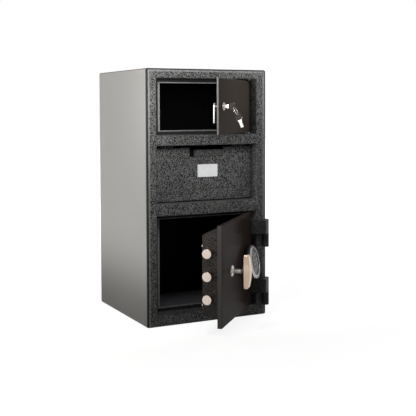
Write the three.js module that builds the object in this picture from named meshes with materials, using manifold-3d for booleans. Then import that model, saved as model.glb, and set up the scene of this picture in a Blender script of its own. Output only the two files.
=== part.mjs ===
import * as THREE from "three";
import { mergeVertices } from "three/addons/utils/BufferGeometryUtils.js";
import Module from "manifold-3d";

// A front-loading drop safe: key locker above, tilt-out deposit drawer in the middle, vault below.
// Millimetres, +Z up, front towards -Y, origin on the floor under the middle of the body.

const wasm = await Module();
wasm.setup();

// General fits
const FIT = 0.3; // seat or sliding gap between two pieces
const OVERRUN = 5; // how far a cutter runs past what it cuts
const MERGE = 1e-4; // vertices nearer than this are one
const ROUND = 28; // sides of a shaft, pin or bore
const FINE = 56; // sides of a large round part
const CURVE_STEPS = 4; // straight pieces in each curve of an outline

// Body
const BODY_W = 364;
const BODY_D = 360;
const BODY_H = 692;
const WALL = 3;
const BACK_T = 3;
const CORNER_R = 5;
const EDGE_R = 3.5;
const EDGE_STEPS = 3;
const FACE_T = 4;
const JAMB_T = 3;
const ANCHOR_D = 13;
const ANCHOR_INSET = 75;
const BACK_HOLE_INSET = 120;

// Front frame, from the floor up
const STILE = 30;
const BOTTOM_RAIL = 31.5;
const MID_RAIL = 33.5;
const UPPER_RAIL = 29;
const TOP_RAIL = 26;

// Heights of the three openings beside each other; together they fill what the rails leave
const VAULT_PART = 265;
const DRAWER_PART = 155;
const LOCKER_PART = 152;

// How the doors and the drawer front sit in the frame
const RECESS = 26;
const DOOR_GAP = 2.5;
const HINGE_GAP = 2;
const STOP_GAP = 1;
const STOP_T = 3;
const STOP_W = 12;
const STRIKE_W = 23;
const DRAWER_JAMB = 40;

// Shelf and mats
const SHELF_T = 3;
const SHELF_LIP = 18;
const MAT_T = 4;
const MAT_INSET = 6;

// Locker door
const LOCKER_T = 5.5;
const LOCKER_GAP = 4;
const LOCKER_OPEN_ANGLE = 45;
const LOCKER_PIN_R = 1.5;
const LOCKER_PIN_IN = 9;
const LOCKER_PIVOT_IN = 7.1;
const LOCKER_STRIKE_DEPTH = 10;
const DOOR_EDGE = 1;

// Locker lock, keys and cam
const LOCK_INSET = 38;
const LOCK_FLANGE_R = 10.5;
const LOCK_FLANGE_T = 3.5;
const LOCK_BARREL_R = 9.5;
const LOCK_BACK = 3;
const PLUG_R = 6.4;
const PLUG_TAIL = 2;
const PLUG_TAIL_SIDE = 3.6;
const PLUG_SHAFT_R = 2.6;
const CAM_BACK = 15.4;
const CAM_L = 42;
const CAM_W = 18;
const CAM_T = 3;
const KEY_T = 2;
const KEY_BLADE_W = 8;
const KEY_BLADE_L = 14;
const KEY_DRAWN = 7.5;
const KEY_NECK = 4;
const KEY_NECK_W = 10;
const KEY_HEAD_L = 17;
const KEY_HEAD_W = 19;
const KEY_HEAD_T = 3.4;
const KEY_HEAD_R = 6.5;
const KEY_HOLE_R = 2.6;
const KEY_HOLE_IN = 4.5;
const RING_R = 11;
const RING_WIRE_R = 0.8;
const RING_TILT = 28;
const SPARE_BLADE_L = 17;
const SPARE_TILT = 22;
const TOOTH_L = 3;
const TOOTH_H = 1.2;

// Deposit drawer: front, cheeks, floor and the fixed guards round them
const DRAWER_T = 2.5;
const DRAWER_TOP_GAP = 6;
const DRAWER_BOTTOM_GAP = 2.5;
const DRAWER_SIDE_GAP = 2;
const PIVOT_BACK = 7;
const PIVOT_UP = 12;
const CHEEK_DROP = 7;
const CHEEK_T = 2;
const CHEEK_STEPS = 14;
const CHEEK_INSET = 0.6;
const SCOOP_T = 2;
const SCOOP_PAST = 1;
const SCOOP_DROP = 12;
const SCOOP_RISE = 4;
const SCOOP_LIP = 7;
const DRAWER_PIN_R = 3.5;
const DRAWER_PIN_HEAD_R = 6;
const DRAWER_PIN_HEAD_T = 2;
const PULL_W = 104;
const PULL_H = 26;
const PULL_DEPTH = 14;
const PULL_X = 8;
const PULL_T = 2;
const PULL_SLOT_W = 18;
const PULL_PAD_DEPTH = 5.5;
const TAB_W = 40;
const TAB_DROP = 12;
const TAB_INSET = 22;
const CHUTE_PAST = 9;
const CHUTE_DROP = 28;
const BAFFLE_IN = 4;
const BAFFLE_RISE = 0.523; // height above the pivot as a share of the cheek's radius
const BAFFLE_T = 2.5;
const BAFFLE_TOOTH = 9;
const BAFFLE_PITCH = 20;
const BAFFLE_FLANGE = 16;

// Vault door and its outside hinges
const VAULT_T = 12.7;
const VAULT_OPEN_ANGLE = 46.25;
const VAULT_FREE_GAP = 4;
const VAULT_LOW_GAP = 4.5;
const PIVOT_SIDE = 5.4;
const PIVOT_FRONT = 9.3;
const KNUCKLE_R = 9;
const HINGE_PIN_R = 5;
const HINGE_DROP = 1.5;
const HINGE_TOP_INSET = 23.7;
const BARREL_H = 38;
const EAR_H = 39;
const EAR_LIFT = 0.8;
const EAR_T = 7;
const EAR_R = 3;
const EAR_ROOF = 5;
const ARM_CLEAR = 2.3;
const FOOT_W = 10;
const CABLE_HOLE_R = 6;
const VAULT_STRIKE_DEPTH = 17;

// Bolt work behind the vault door
const BOX_FREE_INSET = 48.3;
const BOX_HINGE_INSET = 24;
const BOX_LOW_INSET = 16;
const BOX_TOP_INSET = 31;
const BOX_DEPTH = 53;
const BOX_WALL = 2.5;
const BOLT_R = 12.5;
const BOLT_OUT = 16;
const BOLT_L = 80;
const BOLT_SHARE = 0.28; // pitch of the bolts as a share of the box's height
const BOLT_BACK = 37;
const BOLT_THROW = 28;
const BOLT_CHAMFER = 2;
const TENON_R = 6;
const BAR_T = 6;
const BAR_END = 18;
const BAR_REAR = 13;
const BAR_PLATE_T = 4;
const BAR_PLATE_W = 20;
const BAR_PLATE_H = 36;
const TAIL_END = 4;
const TAIL_H = 14;
const TAIL_T = 4;
const TAIL_Z = -6;
const NOTCH_W = 8.5;
const NOTCH_H = 7;
const PLUNGER_R = 3;
const PLUNGER_L = 30;
const PLUNGER_OUT = 1.2;
const CASE_SIDE = 14;
const CASE_W = 60;
const CASE_H = 58;
const CASE_DEPTH = 46;
const CASE_GAP = 3;

// T-handle and its drive
const HANDLE_INSET = 93.6;
const HANDLE_RISE = 0.5;
const HANDLE_L = 90;
const HANDLE_W = 25;
const HANDLE_TIP_SHARE = 0.62;
const HANDLE_THICK = 19.5;
const HANDLE_CROWN = 6;
const CROWN_STEPS = 12;
const HANDLE_STAND = 31;
const HANDLE_ROUND = 4;
const SHAFT_R = 5.8;
const SPINDLE_SIDE = 8;
const ROSETTE_R = 14.5;
const ROSETTE_T = 3;
const CRANK_R = 19.8;
const CRANK_HUB_R = 12;
const CRANK_PIN_R = 3.5;
const CRANK_T = 7;
const CRANK_GAP = 8;
const CRANK_CLEAR = 3;
const CRANK_PIN_OUT = 0.5;
const SLOT_W = 9;
const CRANK_ANGLE = 45;

// Keypad
const KEYPAD_HINGE_INSET = 46.4;
const KEYPAD_DROP = 2.5;
const KEYPAD_TILT = 10;
const KEYPAD_R = 46;
const KEYPAD_H = 20;
const KEYPAD_RIM_IN = 0.5;
const KEYPAD_RIM = 5;
const KEYPAD_EDGE = 1;
const KEYPAD_POCKET_R = 30.5;
const KEYPAD_POCKET = 6;
const BEZEL_R = 45.2;
const BEZEL_BORE_R = 33;
const BEZEL_H = 3.6;
const BEZEL_CROWN = 1.4;
const FACE_PLATE_T = 2;
const KEY_COLUMNS = 3;
const KEY_ROWS = 4;
const KEY_PITCH_X = 15;
const KEY_PITCH_Z = 12;
const KEYCAP_W = 11;
const KEYCAP_H = 8.6;
const KEYCAP_R = 2.2;
const KEYCAP_L = 7;
const KEYCAP_OUT = 1.4;
const KEYCAP_GAP = 0.4;
const KEYCAP_EDGE = 0.5;

// Places worked out from the sizes above
const FRONT = -BODY_D / 2;
const BACK = BODY_D / 2;
const OPEN_R = BODY_W / 2 - STILE;
const OPEN_L = -OPEN_R;
const VAULT_Z0 = BOTTOM_RAIL;
const PART_H =
  (BODY_H - BOTTOM_RAIL - MID_RAIL - UPPER_RAIL - TOP_RAIL) /
  (VAULT_PART + DRAWER_PART + LOCKER_PART);
const VAULT_Z1 = VAULT_Z0 + VAULT_PART * PART_H;
const DRAWER_Z0 = VAULT_Z1 + MID_RAIL;
const DRAWER_Z1 = DRAWER_Z0 + DRAWER_PART * PART_H;
const LOCKER_Z0 = DRAWER_Z1 + UPPER_RAIL;
const LOCKER_Z1 = LOCKER_Z0 + LOCKER_PART * PART_H;
const LOCKER_STOP = FRONT + RECESS + LOCKER_T + STOP_GAP;
const VAULT_STOP = FRONT + RECESS + VAULT_T + STOP_GAP;
const DRAWER_END = FRONT + DRAWER_JAMB;
const SHELF_TOP = LOCKER_Z0 - JAMB_T;
const INNER_HALF = BODY_W / 2 - WALL;
const INNER_BACK = BACK - BACK_T;
const DRAWER_PIVOT_Y = FRONT + RECESS + PIVOT_BACK;
const DRAWER_PIVOT_Z = DRAWER_Z0 + PIVOT_UP;
const PANEL_TOP = DRAWER_Z1 - DRAWER_TOP_GAP - DRAWER_PIVOT_Z;
const CHEEK_R = PANEL_TOP - CHEEK_DROP;
const LOCKER_PIVOT_X = OPEN_R - LOCKER_PIVOT_IN;
const LOCKER_PIVOT_Y = FRONT + RECESS + LOCKER_T / 2;
const VAULT_PIVOT_X = BODY_W / 2 - PIVOT_SIDE;
const VAULT_PIVOT_Y = FRONT - PIVOT_FRONT;

const rad = THREE.MathUtils.degToRad;

// Finishes: colour, roughness and metalness
const powderCoat = { color: 0x2e2f30, roughness: 0.7, metalness: 0.15 };
const smoothCoat = { color: 0x38332f, roughness: 0.35, metalness: 0.15 };
const zinc = { color: 0xc9cac6, roughness: 0.3, metalness: 0.95 };
const nickel = { color: 0xd6cbc6, roughness: 0.22, metalness: 0.95 };
const chrome = { color: 0xe2dcd6, roughness: 0.12, metalness: 1 };
const darkSteel = { color: 0x4a4b4c, roughness: 0.45, metalness: 0.9 };
const brass = { color: 0xb99a52, roughness: 0.35, metalness: 0.9 };
const blackPlastic = { color: 0x1c1c1e, roughness: 0.55, metalness: 0 };
const paleMetal = { color: 0xc8c9cc, roughness: 0.3, metalness: 0.7 };
const greyField = { color: 0x8a8d90, roughness: 0.5, metalness: 0 };
const keyWhite = { color: 0xd9dadb, roughness: 0.5, metalness: 0 };
const matFelt = { color: 0x3c3a46, roughness: 0.95, metalness: 0 };

// A closed geometry as a solid that can be joined and cut
function solid(geometry) {
  const loose = geometry.index ? geometry.toNonIndexed() : geometry.clone();
  loose.deleteAttribute("normal");
  loose.deleteAttribute("uv");
  const merged = mergeVertices(loose, MERGE);
  const index = merged.index.array;
  const kept = [];
  for (let i = 0; i < index.length; i += 3) {
    const [a, b, c] = [index[i], index[i + 1], index[i + 2]];
    if (a !== b && b !== c && c !== a) kept.push(a, b, c);
  }
  return new wasm.Manifold(
    new wasm.Mesh({
      numProp: 3,
      vertProperties: merged.attributes.position.array,
      triVerts: new Uint32Array(kept),
    }),
  );
}

function geometryOf(body) {
  const { vertProperties, triVerts } = body.getMesh();
  const geometry = new THREE.BufferGeometry();
  geometry.setAttribute("position", new THREE.BufferAttribute(vertProperties, 3));
  geometry.setIndex(new THREE.BufferAttribute(triVerts, 1));
  geometry.computeVertexNormals();
  return geometry;
}

function join(...bodies) {
  return bodies.reduce((all, body) => all.add(body));
}

function cut(body, ...cutters) {
  return cutters.reduce((left, cutter) => left.subtract(cutter), body);
}

function add(parent, name, body, finish) {
  const piece = new THREE.Mesh(geometryOf(body), new THREE.MeshStandardMaterial(finish));
  piece.name = name;
  parent.add(piece);
}

function slab(x0, x1, y0, y1, z0, z1) {
  const box = new THREE.BoxGeometry(x1 - x0, y1 - y0, z1 - z0);
  return solid(box.translate((x0 + x1) / 2, (y0 + y1) / 2, (z0 + z1) / 2));
}

// A round bar that starts at a point and runs along +X, +Y or +Z
function rod(axis, radius, [x, y, z], length, sides = ROUND) {
  const bar = new THREE.CylinderGeometry(radius, radius, length, sides).translate(0, length / 2, 0);
  if (axis === "x") bar.rotateZ(-Math.PI / 2);
  if (axis === "z") bar.rotateX(Math.PI / 2);
  return solid(bar.translate(x, y, z));
}

function outline(points) {
  return new THREE.Shape(points.map(([x, y]) => new THREE.Vector2(x, y)));
}

function rect(x0, x1, y0, y1) {
  return outline([
    [x0, y0],
    [x1, y0],
    [x1, y1],
    [x0, y1],
  ]);
}

function roundRect(x0, x1, y0, y1, r) {
  const shape = new THREE.Shape();
  shape.moveTo(x0 + r, y0);
  shape.lineTo(x1 - r, y0);
  shape.absarc(x1 - r, y0 + r, r, -Math.PI / 2, 0);
  shape.lineTo(x1, y1 - r);
  shape.absarc(x1 - r, y1 - r, r, 0, Math.PI / 2);
  shape.lineTo(x0 + r, y1);
  shape.absarc(x0 + r, y1 - r, r, Math.PI / 2, Math.PI);
  shape.lineTo(x0, y0 + r);
  shape.absarc(x0 + r, y0 + r, r, Math.PI, 1.5 * Math.PI);
  return shape;
}

function ring(outer, inner) {
  outer.holes.push(inner);
  return outer;
}

// An outline swept from one height to another, with its long edges eased by bevel
function extruded(shape, from, to, bevel = 0, steps = 1) {
  const geometry = new THREE.ExtrudeGeometry(shape, {
    depth: to - from - 2 * bevel,
    bevelEnabled: bevel > 0,
    bevelSize: bevel,
    bevelThickness: bevel,
    bevelOffset: -bevel,
    bevelSegments: steps,
    curveSegments: CURVE_STEPS,
  });
  return geometry.translate(0, 0, from + bevel);
}

const upward = (shape, z0, z1, bevel, steps) => solid(extruded(shape, z0, z1, bevel, steps));

// Outline drawn in X and Z, swept along Y
function alongY(shape, y0, y1, bevel, steps) {
  return solid(extruded(shape, -y1, -y0, bevel, steps).rotateX(Math.PI / 2));
}

// Outline drawn in Y and Z, swept along X
function alongX(shape, x0, x1, bevel, steps) {
  const turn = new THREE.Matrix4().makeBasis(
    new THREE.Vector3(0, 1, 0),
    new THREE.Vector3(0, 0, 1),
    new THREE.Vector3(1, 0, 0),
  );
  return solid(extruded(shape, x0, x1, bevel, steps).applyMatrix4(turn));
}

// A profile of [radius, height] points turned about an axis that points out of a door (-Y)
function lathed(profile, sides = ROUND) {
  const area = profile.reduce((sum, [r, h], i) => {
    const [nr, nh] = profile[(i + 1) % profile.length];
    return sum + r * nh - nr * h;
  }, 0);
  const points = profile.map(([r, h]) => new THREE.Vector2(r, h));
  if (area < 0) points.reverse();
  return new THREE.LatheGeometry(points, sides).rotateX(Math.PI).rotateY(Math.PI);
}

const turned = (profile, [x, y, z], sides) => solid(lathed(profile, sides).translate(x, y, z));

const safe = new THREE.Group();

// Body: wrapped shell, front frame with its jambs, back, shelf and mats

const openings = {
  vault: { z0: VAULT_Z0, z1: VAULT_Z1, end: VAULT_STOP },
  drawer: { z0: DRAWER_Z0, z1: DRAWER_Z1, end: DRAWER_END },
  locker: { z0: LOCKER_Z0, z1: LOCKER_Z1, end: LOCKER_STOP },
};

function bodyShell() {
  const outer = roundRect(-BODY_W / 2, BODY_W / 2, 0, BODY_H, CORNER_R);
  const inner = roundRect(-INNER_HALF, INNER_HALF, WALL, BODY_H - WALL, CORNER_R - WALL);
  const holes = [];
  for (const x of [-BODY_W / 2 + ANCHOR_INSET, BODY_W / 2 - ANCHOR_INSET]) {
    for (const y of [FRONT + ANCHOR_INSET, BACK - ANCHOR_INSET]) {
      holes.push(rod("z", ANCHOR_D / 2, [x, y, -OVERRUN], WALL + 2 * OVERRUN));
    }
  }
  return cut(alongY(ring(outer, inner), FRONT + FACE_T, BACK), ...holes);
}

function jamb({ z0, z1, end }) {
  const outer = rect(OPEN_L - JAMB_T, OPEN_R + JAMB_T, z0 - JAMB_T, z1 + JAMB_T);
  return alongY(ring(outer, rect(OPEN_L, OPEN_R, z0, z1)), FRONT + EDGE_R, end);
}

function frontFrame() {
  const face = roundRect(-BODY_W / 2, BODY_W / 2, 0, BODY_H, CORNER_R);
  for (const { z0, z1 } of Object.values(openings)) face.holes.push(rect(OPEN_L, OPEN_R, z0, z1));
  const thick = alongY(face, FRONT, FRONT + FACE_T + 2 * EDGE_R, EDGE_R, EDGE_STEPS);
  const behind = slab(-BODY_W, BODY_W, FRONT + FACE_T, BACK, -OVERRUN, BODY_H + OVERRUN);
  const plate = cut(thick, behind);
  const tabs = [];
  for (const x of [OPEN_L + TAB_INSET, OPEN_R - TAB_INSET - TAB_W]) {
    const y = FRONT + RECESS + DRAWER_T + FIT;
    tabs.push(slab(x, x + TAB_W, y, y + DRAWER_T, DRAWER_Z1 - TAB_DROP, DRAWER_Z1 + JAMB_T));
  }
  const frame = join(plate, ...Object.values(openings).map(jamb), ...tabs);
  const through = OPEN_R - OPEN_L + 2 * JAMB_T + 2 * OVERRUN;
  const drawerPins = rod(
    "x",
    DRAWER_PIN_R + FIT,
    [OPEN_L - JAMB_T - OVERRUN, DRAWER_PIVOT_Y, DRAWER_PIVOT_Z],
    through,
  );
  const pinHoles = [LOCKER_Z0 - JAMB_T, LOCKER_Z1].map((z) =>
    rod("z", LOCKER_PIN_R + FIT, [LOCKER_PIVOT_X, LOCKER_PIVOT_Y, z - FIT], JAMB_T + 2 * FIT),
  );
  return cut(frame, drawerPins, ...pinHoles);
}

function backPanel() {
  const half = INNER_HALF - FIT;
  const plate = alongY(
    roundRect(-half, half, WALL + FIT, BODY_H - WALL - FIT, CORNER_R - WALL),
    INNER_BACK,
    BACK,
  );
  const holes = [BACK_HOLE_INSET, BODY_H - BACK_HOLE_INSET].map((z) =>
    rod("y", ANCHOR_D / 2, [0, INNER_BACK - OVERRUN, z], BACK_T + 2 * OVERRUN),
  );
  return cut(plate, ...holes);
}

function lockerShelf() {
  const half = INNER_HALF - FIT;
  const section = outline([
    [-half, SHELF_TOP - SHELF_LIP],
    [-half + SHELF_T, SHELF_TOP - SHELF_LIP],
    [-half + SHELF_T, SHELF_TOP - SHELF_T],
    [half - SHELF_T, SHELF_TOP - SHELF_T],
    [half - SHELF_T, SHELF_TOP - SHELF_LIP],
    [half, SHELF_TOP - SHELF_LIP],
    [half, SHELF_TOP],
    [-half, SHELF_TOP],
  ]);
  return alongY(section, FRONT + FACE_T + FIT, INNER_BACK - FIT);
}

function mat(front, z) {
  const half = INNER_HALF - MAT_INSET;
  return upward(
    roundRect(-half, half, front + MAT_INSET, INNER_BACK - MAT_INSET, CORNER_R),
    z,
    z + MAT_T,
    DOOR_EDGE,
  );
}

// Stop frame behind a door: flat ring, wider where the bolts or the cam catch, with a return there
function stopFrame({ z0, z1, end }, hingeStop, strikeDepth) {
  const outer = rect(OPEN_L - JAMB_T, OPEN_R + JAMB_T, z0 - JAMB_T, z1 + JAMB_T);
  const inner = rect(OPEN_L + STRIKE_W, OPEN_R - hingeStop, z0 + STOP_W, z1 - STOP_W);
  const flat = alongY(ring(outer, inner), end, end + STOP_T);
  const x = OPEN_L + STRIKE_W;
  const leg = slab(x - STOP_T, x, end, end + STOP_T + strikeDepth, z0 + STOP_W, z1 - STOP_W);
  return join(flat, leg);
}

add(safe, "body_shell", bodyShell(), powderCoat);
add(safe, "front_frame", frontFrame(), powderCoat);
add(safe, "back_panel", backPanel(), powderCoat);
add(safe, "locker_shelf", lockerShelf(), powderCoat);
add(safe, "locker_mat", mat(LOCKER_STOP + STOP_T, SHELF_TOP), matFelt);
add(safe, "vault_mat", mat(VAULT_STOP + STOP_T, WALL), matFelt);
add(
  safe,
  "vault_stop_frame",
  stopFrame(openings.vault, STOP_W, VAULT_STRIKE_DEPTH),
  powderCoat,
);

// The locker's hinge side swings inside the jamb, so its stop frame is open there
function lockerStopFrame() {
  const whole = stopFrame(openings.locker, STOP_W, LOCKER_STRIKE_DEPTH);
  const swing = slab(
    LOCKER_PIVOT_X - STOP_W,
    OPEN_R,
    LOCKER_STOP - OVERRUN,
    LOCKER_STOP + STOP_T + OVERRUN,
    LOCKER_Z0,
    LOCKER_Z1,
  );
  return cut(whole, swing);
}

add(safe, "locker_stop_frame", lockerStopFrame(), powderCoat);

// Guards round the deposit drawer

function chuteSide(x) {
  const top = SHELF_TOP - SHELF_T - FIT;
  const low = DRAWER_Z0 - JAMB_T;
  const end = DRAWER_PIVOT_Y + CHEEK_R + CHUTE_PAST;
  const side = outline([
    [DRAWER_END + FIT, low],
    [end, low - CHUTE_DROP],
    [end, top],
    [DRAWER_END + FIT, top],
  ]);
  return alongX(side, x, x + JAMB_T);
}

function baffle() {
  const half = OPEN_R - FIT;
  const top = SHELF_TOP - SHELF_T - FIT;
  const low = DRAWER_PIVOT_Z + BAFFLE_RISE * CHEEK_R;
  const y = DRAWER_PIVOT_Y + CHEEK_R - BAFFLE_IN;
  const teeth = Math.floor((2 * half) / BAFFLE_PITCH);
  const step = (2 * half) / teeth;
  const points = [
    [half, top],
    [-half, top],
  ];
  for (let i = 0; i < teeth; i += 1) {
    points.push([-half + i * step, low]);
    points.push([-half + (i + 0.5) * step, low - BAFFLE_TOOTH]);
  }
  points.push([half, low]);
  const flange = slab(-half, half, y, y + BAFFLE_FLANGE, top - BAFFLE_T, top);
  return join(alongY(outline(points), y, y + BAFFLE_T), flange);
}

add(safe, "chute_side_left", chuteSide(OPEN_L - JAMB_T), powderCoat);
add(safe, "chute_side_right", chuteSide(OPEN_R), powderCoat);
add(safe, "antifish_baffle", baffle(), zinc);

// Drawer pins: headed pins through the jamb into the cheeks
const CHEEK_OUT = OPEN_R - DRAWER_SIDE_GAP - CHEEK_INSET;

function drawerPin(side) {
  const tip = CHEEK_OUT - CHEEK_T - DRAWER_PIN_HEAD_T;
  const head = OPEN_R + JAMB_T + FIT;
  const end = head + DRAWER_PIN_HEAD_T;
  const bar = (radius, from, to) => {
    const start = side > 0 ? from : -to;
    return rod("x", radius, [start, DRAWER_PIVOT_Y, DRAWER_PIVOT_Z], to - from);
  };
  return join(bar(DRAWER_PIN_R, tip, end), bar(DRAWER_PIN_HEAD_R, head, end));
}

add(safe, "drawer_pin_left", drawerPin(-1), zinc);
add(safe, "drawer_pin_right", drawerPin(1), zinc);

// Deposit drawer, tilting about its lower front edge
const drawer = new THREE.Group();
drawer.position.set(0, DRAWER_PIVOT_Y, DRAWER_PIVOT_Z);
safe.add(drawer);

const PANEL_BOTTOM = DRAWER_Z0 + DRAWER_BOTTOM_GAP - DRAWER_PIVOT_Z;
const PANEL_HALF = OPEN_R - DRAWER_SIDE_GAP;
const PANEL_BACK = DRAWER_T - PIVOT_BACK;
const SCOOP_FRONT = PANEL_BACK + FIT;
const PULL_TOP = CHEEK_R;
const PULL_LOW = PANEL_TOP - PULL_H;

function drawerFront() {
  const panel = alongY(
    rect(-PANEL_HALF, PANEL_HALF, PANEL_BOTTOM, PANEL_TOP),
    -PIVOT_BACK,
    PANEL_BACK,
    DOOR_EDGE,
  );
  const notch = slab(
    PULL_X - PULL_W / 2,
    PULL_X + PULL_W / 2,
    -PIVOT_BACK - OVERRUN,
    PANEL_BACK + OVERRUN,
    PULL_LOW,
    PANEL_TOP + OVERRUN,
  );
  return cut(panel, notch);
}

// Cup behind the notch, open at the front and the top: a deep finger slot, then a shallow pad
function pullCup() {
  const left = PULL_X - PULL_W / 2;
  const right = PULL_X + PULL_W / 2;
  const step = left + PULL_SLOT_W;
  const [deep, shallow] = [PULL_DEPTH - PIVOT_BACK, PULL_PAD_DEPTH - PIVOT_BACK];
  const wall = (x0, x1, y) =>
    slab(x0 - PULL_T, x1 + PULL_T, PANEL_BACK + FIT, y + PULL_T, PULL_LOW - PULL_T, PULL_TOP);
  const room = (x0, x1, y) =>
    slab(x0, x1, PANEL_BACK - OVERRUN, y, PULL_LOW, PULL_TOP + OVERRUN);
  const outer = join(wall(left, step, deep), wall(left, right, shallow));
  return cut(outer, room(left, step, deep), room(left, right, shallow));
}

// Section of the sloping floor: its front and back ends, and the step down through its thickness
const SCOOP_LEAN = rad(SCOOP_DROP);
const SCOOP_L = CHEEK_R + SCOOP_PAST;
const SCOOP_Z = PANEL_BOTTOM + SCOOP_RISE;
const SCOOP_END_Y = SCOOP_FRONT + SCOOP_L * Math.cos(SCOOP_LEAN);
const SCOOP_END_Z = SCOOP_Z - SCOOP_L * Math.sin(SCOOP_LEAN);
const SCOOP_DOWN = SCOOP_T / Math.cos(SCOOP_LEAN);

function cheek(x0) {
  const points = [
    [SCOOP_FRONT, PANEL_BOTTOM],
    [SCOOP_LIP, PANEL_BOTTOM],
  ];
  const low = Math.atan2(SCOOP_END_Z - SCOOP_DOWN, SCOOP_END_Y);
  for (let i = 0; i <= CHEEK_STEPS; i += 1) {
    const angle = low + (i / CHEEK_STEPS) * (Math.PI / 2 - low);
    points.push([CHEEK_R * Math.cos(angle), CHEEK_R * Math.sin(angle)]);
  }
  points.push([SCOOP_FRONT, CHEEK_R]);
  const plate = alongX(outline(points), x0, x0 + CHEEK_T);
  return cut(plate, rod("x", DRAWER_PIN_R + FIT, [x0 - OVERRUN, 0, 0], CHEEK_T + 2 * OVERRUN));
}

// Sloping floor that tips the deposit off its back edge when the drawer shuts
function scoop() {
  const section = outline([
    [SCOOP_FRONT, SCOOP_Z],
    [SCOOP_FRONT, SCOOP_Z - SCOOP_DOWN],
    [SCOOP_END_Y, SCOOP_END_Z - SCOOP_DOWN],
    [SCOOP_END_Y, SCOOP_END_Z],
  ]);
  const half = CHEEK_OUT - CHEEK_T - FIT;
  return alongX(section, -half, half);
}

add(drawer, "drawer_front", drawerFront(), powderCoat);
add(drawer, "drawer_pull_cup", pullCup(), powderCoat);
add(drawer, "drawer_cheek_left", cheek(-CHEEK_OUT), powderCoat);
add(drawer, "drawer_cheek_right", cheek(CHEEK_OUT - CHEEK_T), powderCoat);
add(drawer, "drawer_scoop", scoop(), powderCoat);

// Locker door on two short pins in the jamb
const lockerDoor = new THREE.Group();
lockerDoor.position.set(LOCKER_PIVOT_X, LOCKER_PIVOT_Y, 0);
lockerDoor.rotation.z = rad(LOCKER_OPEN_ANGLE);
safe.add(lockerDoor);

const LOCKER_FREE = OPEN_L + DOOR_GAP - LOCKER_PIVOT_X;
const LOCKER_LOW = LOCKER_Z0 + LOCKER_GAP;
const LOCKER_HIGH = LOCKER_Z1 - LOCKER_GAP;
const LOCKER_PIN_L = JAMB_T - FIT + LOCKER_GAP + LOCKER_PIN_IN - STOP_GAP;
const LOCK_X = LOCKER_FREE + LOCK_INSET;
const LOCK_Z = (LOCKER_Z0 + LOCKER_Z1) / 2;
const LOCKER_FACE = -LOCKER_T / 2;
const LOCKER_REAR = LOCKER_T / 2;

function lockerPin(z) {
  return rod("z", LOCKER_PIN_R, [LOCKER_PIVOT_X, LOCKER_PIVOT_Y, z], LOCKER_PIN_L);
}

function lockerPlate() {
  const plate = alongY(
    rect(LOCKER_FREE, LOCKER_PIVOT_IN - HINGE_GAP, LOCKER_LOW, LOCKER_HIGH),
    LOCKER_FACE,
    LOCKER_REAR,
    DOOR_EDGE,
  );
  const bores = [LOCKER_LOW - OVERRUN, LOCKER_HIGH - LOCKER_PIN_IN].map((z) =>
    rod("z", LOCKER_PIN_R + FIT, [0, 0, z], LOCKER_PIN_IN + OVERRUN),
  );
  const lockHole = rod(
    "y",
    LOCK_BARREL_R + FIT,
    [LOCK_X, LOCKER_FACE - OVERRUN, LOCK_Z],
    LOCKER_T + 2 * OVERRUN,
  );
  return cut(plate, ...bores, lockHole);
}

function lockBarrel() {
  const bore = PLUG_R + FIT;
  const profile = [
    [bore, -LOCKER_T - LOCK_BACK],
    [LOCK_BARREL_R, -LOCKER_T - LOCK_BACK],
    [LOCK_BARREL_R, FIT],
    [LOCK_FLANGE_R, FIT],
    [LOCK_FLANGE_R, LOCK_FLANGE_T - DOOR_EDGE],
    [LOCK_FLANGE_R - DOOR_EDGE, LOCK_FLANGE_T],
    [bore, LOCK_FLANGE_T],
    [bore, -LOCKER_T - LOCK_BACK],
  ];
  return turned(profile, [LOCK_X, LOCKER_FACE, LOCK_Z]);
}

add(safe, "locker_pin_bottom", lockerPin(SHELF_TOP + FIT), zinc);
add(safe, "locker_pin_top", lockerPin(LOCKER_Z1 + JAMB_T - LOCKER_PIN_L), zinc);
add(lockerDoor, "locker_door", lockerPlate(), smoothCoat);
add(lockerDoor, "lock_barrel", lockBarrel(), chrome);

// Plug, cam and key turn together about the lock's axis
const lockTurn = new THREE.Group();
lockTurn.position.set(LOCK_X, LOCKER_FACE, LOCK_Z);
lockerDoor.add(lockTurn);

const PLUG_BACK = LOCKER_T + LOCK_BACK + FIT;
const KEY_SLOT_DEPTH = KEY_BLADE_L + FIT;
const CAM_Y = LOCKER_T + CAM_BACK;

// Plug with the slim shaft that carries the cam on its square end
function lockPlug() {
  const round = rod("y", PLUG_R, [0, -LOCK_FLANGE_T, 0], PLUG_BACK + LOCK_FLANGE_T);
  const shaft = rod("y", PLUG_SHAFT_R, [0, 0, 0], CAM_Y - FIT);
  const body = join(round, shaft);
  const side = PLUG_TAIL_SIDE / 2;
  const tail = slab(-side, side, CAM_Y - OVERRUN, CAM_Y + CAM_T + PLUG_TAIL, -side, side);
  const slot = slab(
    -KEY_T / 2 - FIT,
    KEY_T / 2 + FIT,
    -LOCK_FLANGE_T - OVERRUN,
    -LOCK_FLANGE_T + KEY_SLOT_DEPTH,
    -KEY_BLADE_W / 2 - FIT,
    KEY_BLADE_W / 2 + FIT,
  );
  return cut(join(body, tail), slot);
}

function lockerCam() {
  const half = CAM_W / 2;
  const shape = new THREE.Shape();
  shape.absarc(0, 0, half, 0, Math.PI);
  shape.lineTo(-half, -CAM_L);
  shape.lineTo(half, -CAM_L);
  const hole = PLUG_TAIL_SIDE / 2 + FIT;
  return alongY(ring(shape, rect(-hole, hole, -hole, hole)), CAM_Y, CAM_Y + CAM_T);
}

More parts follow.
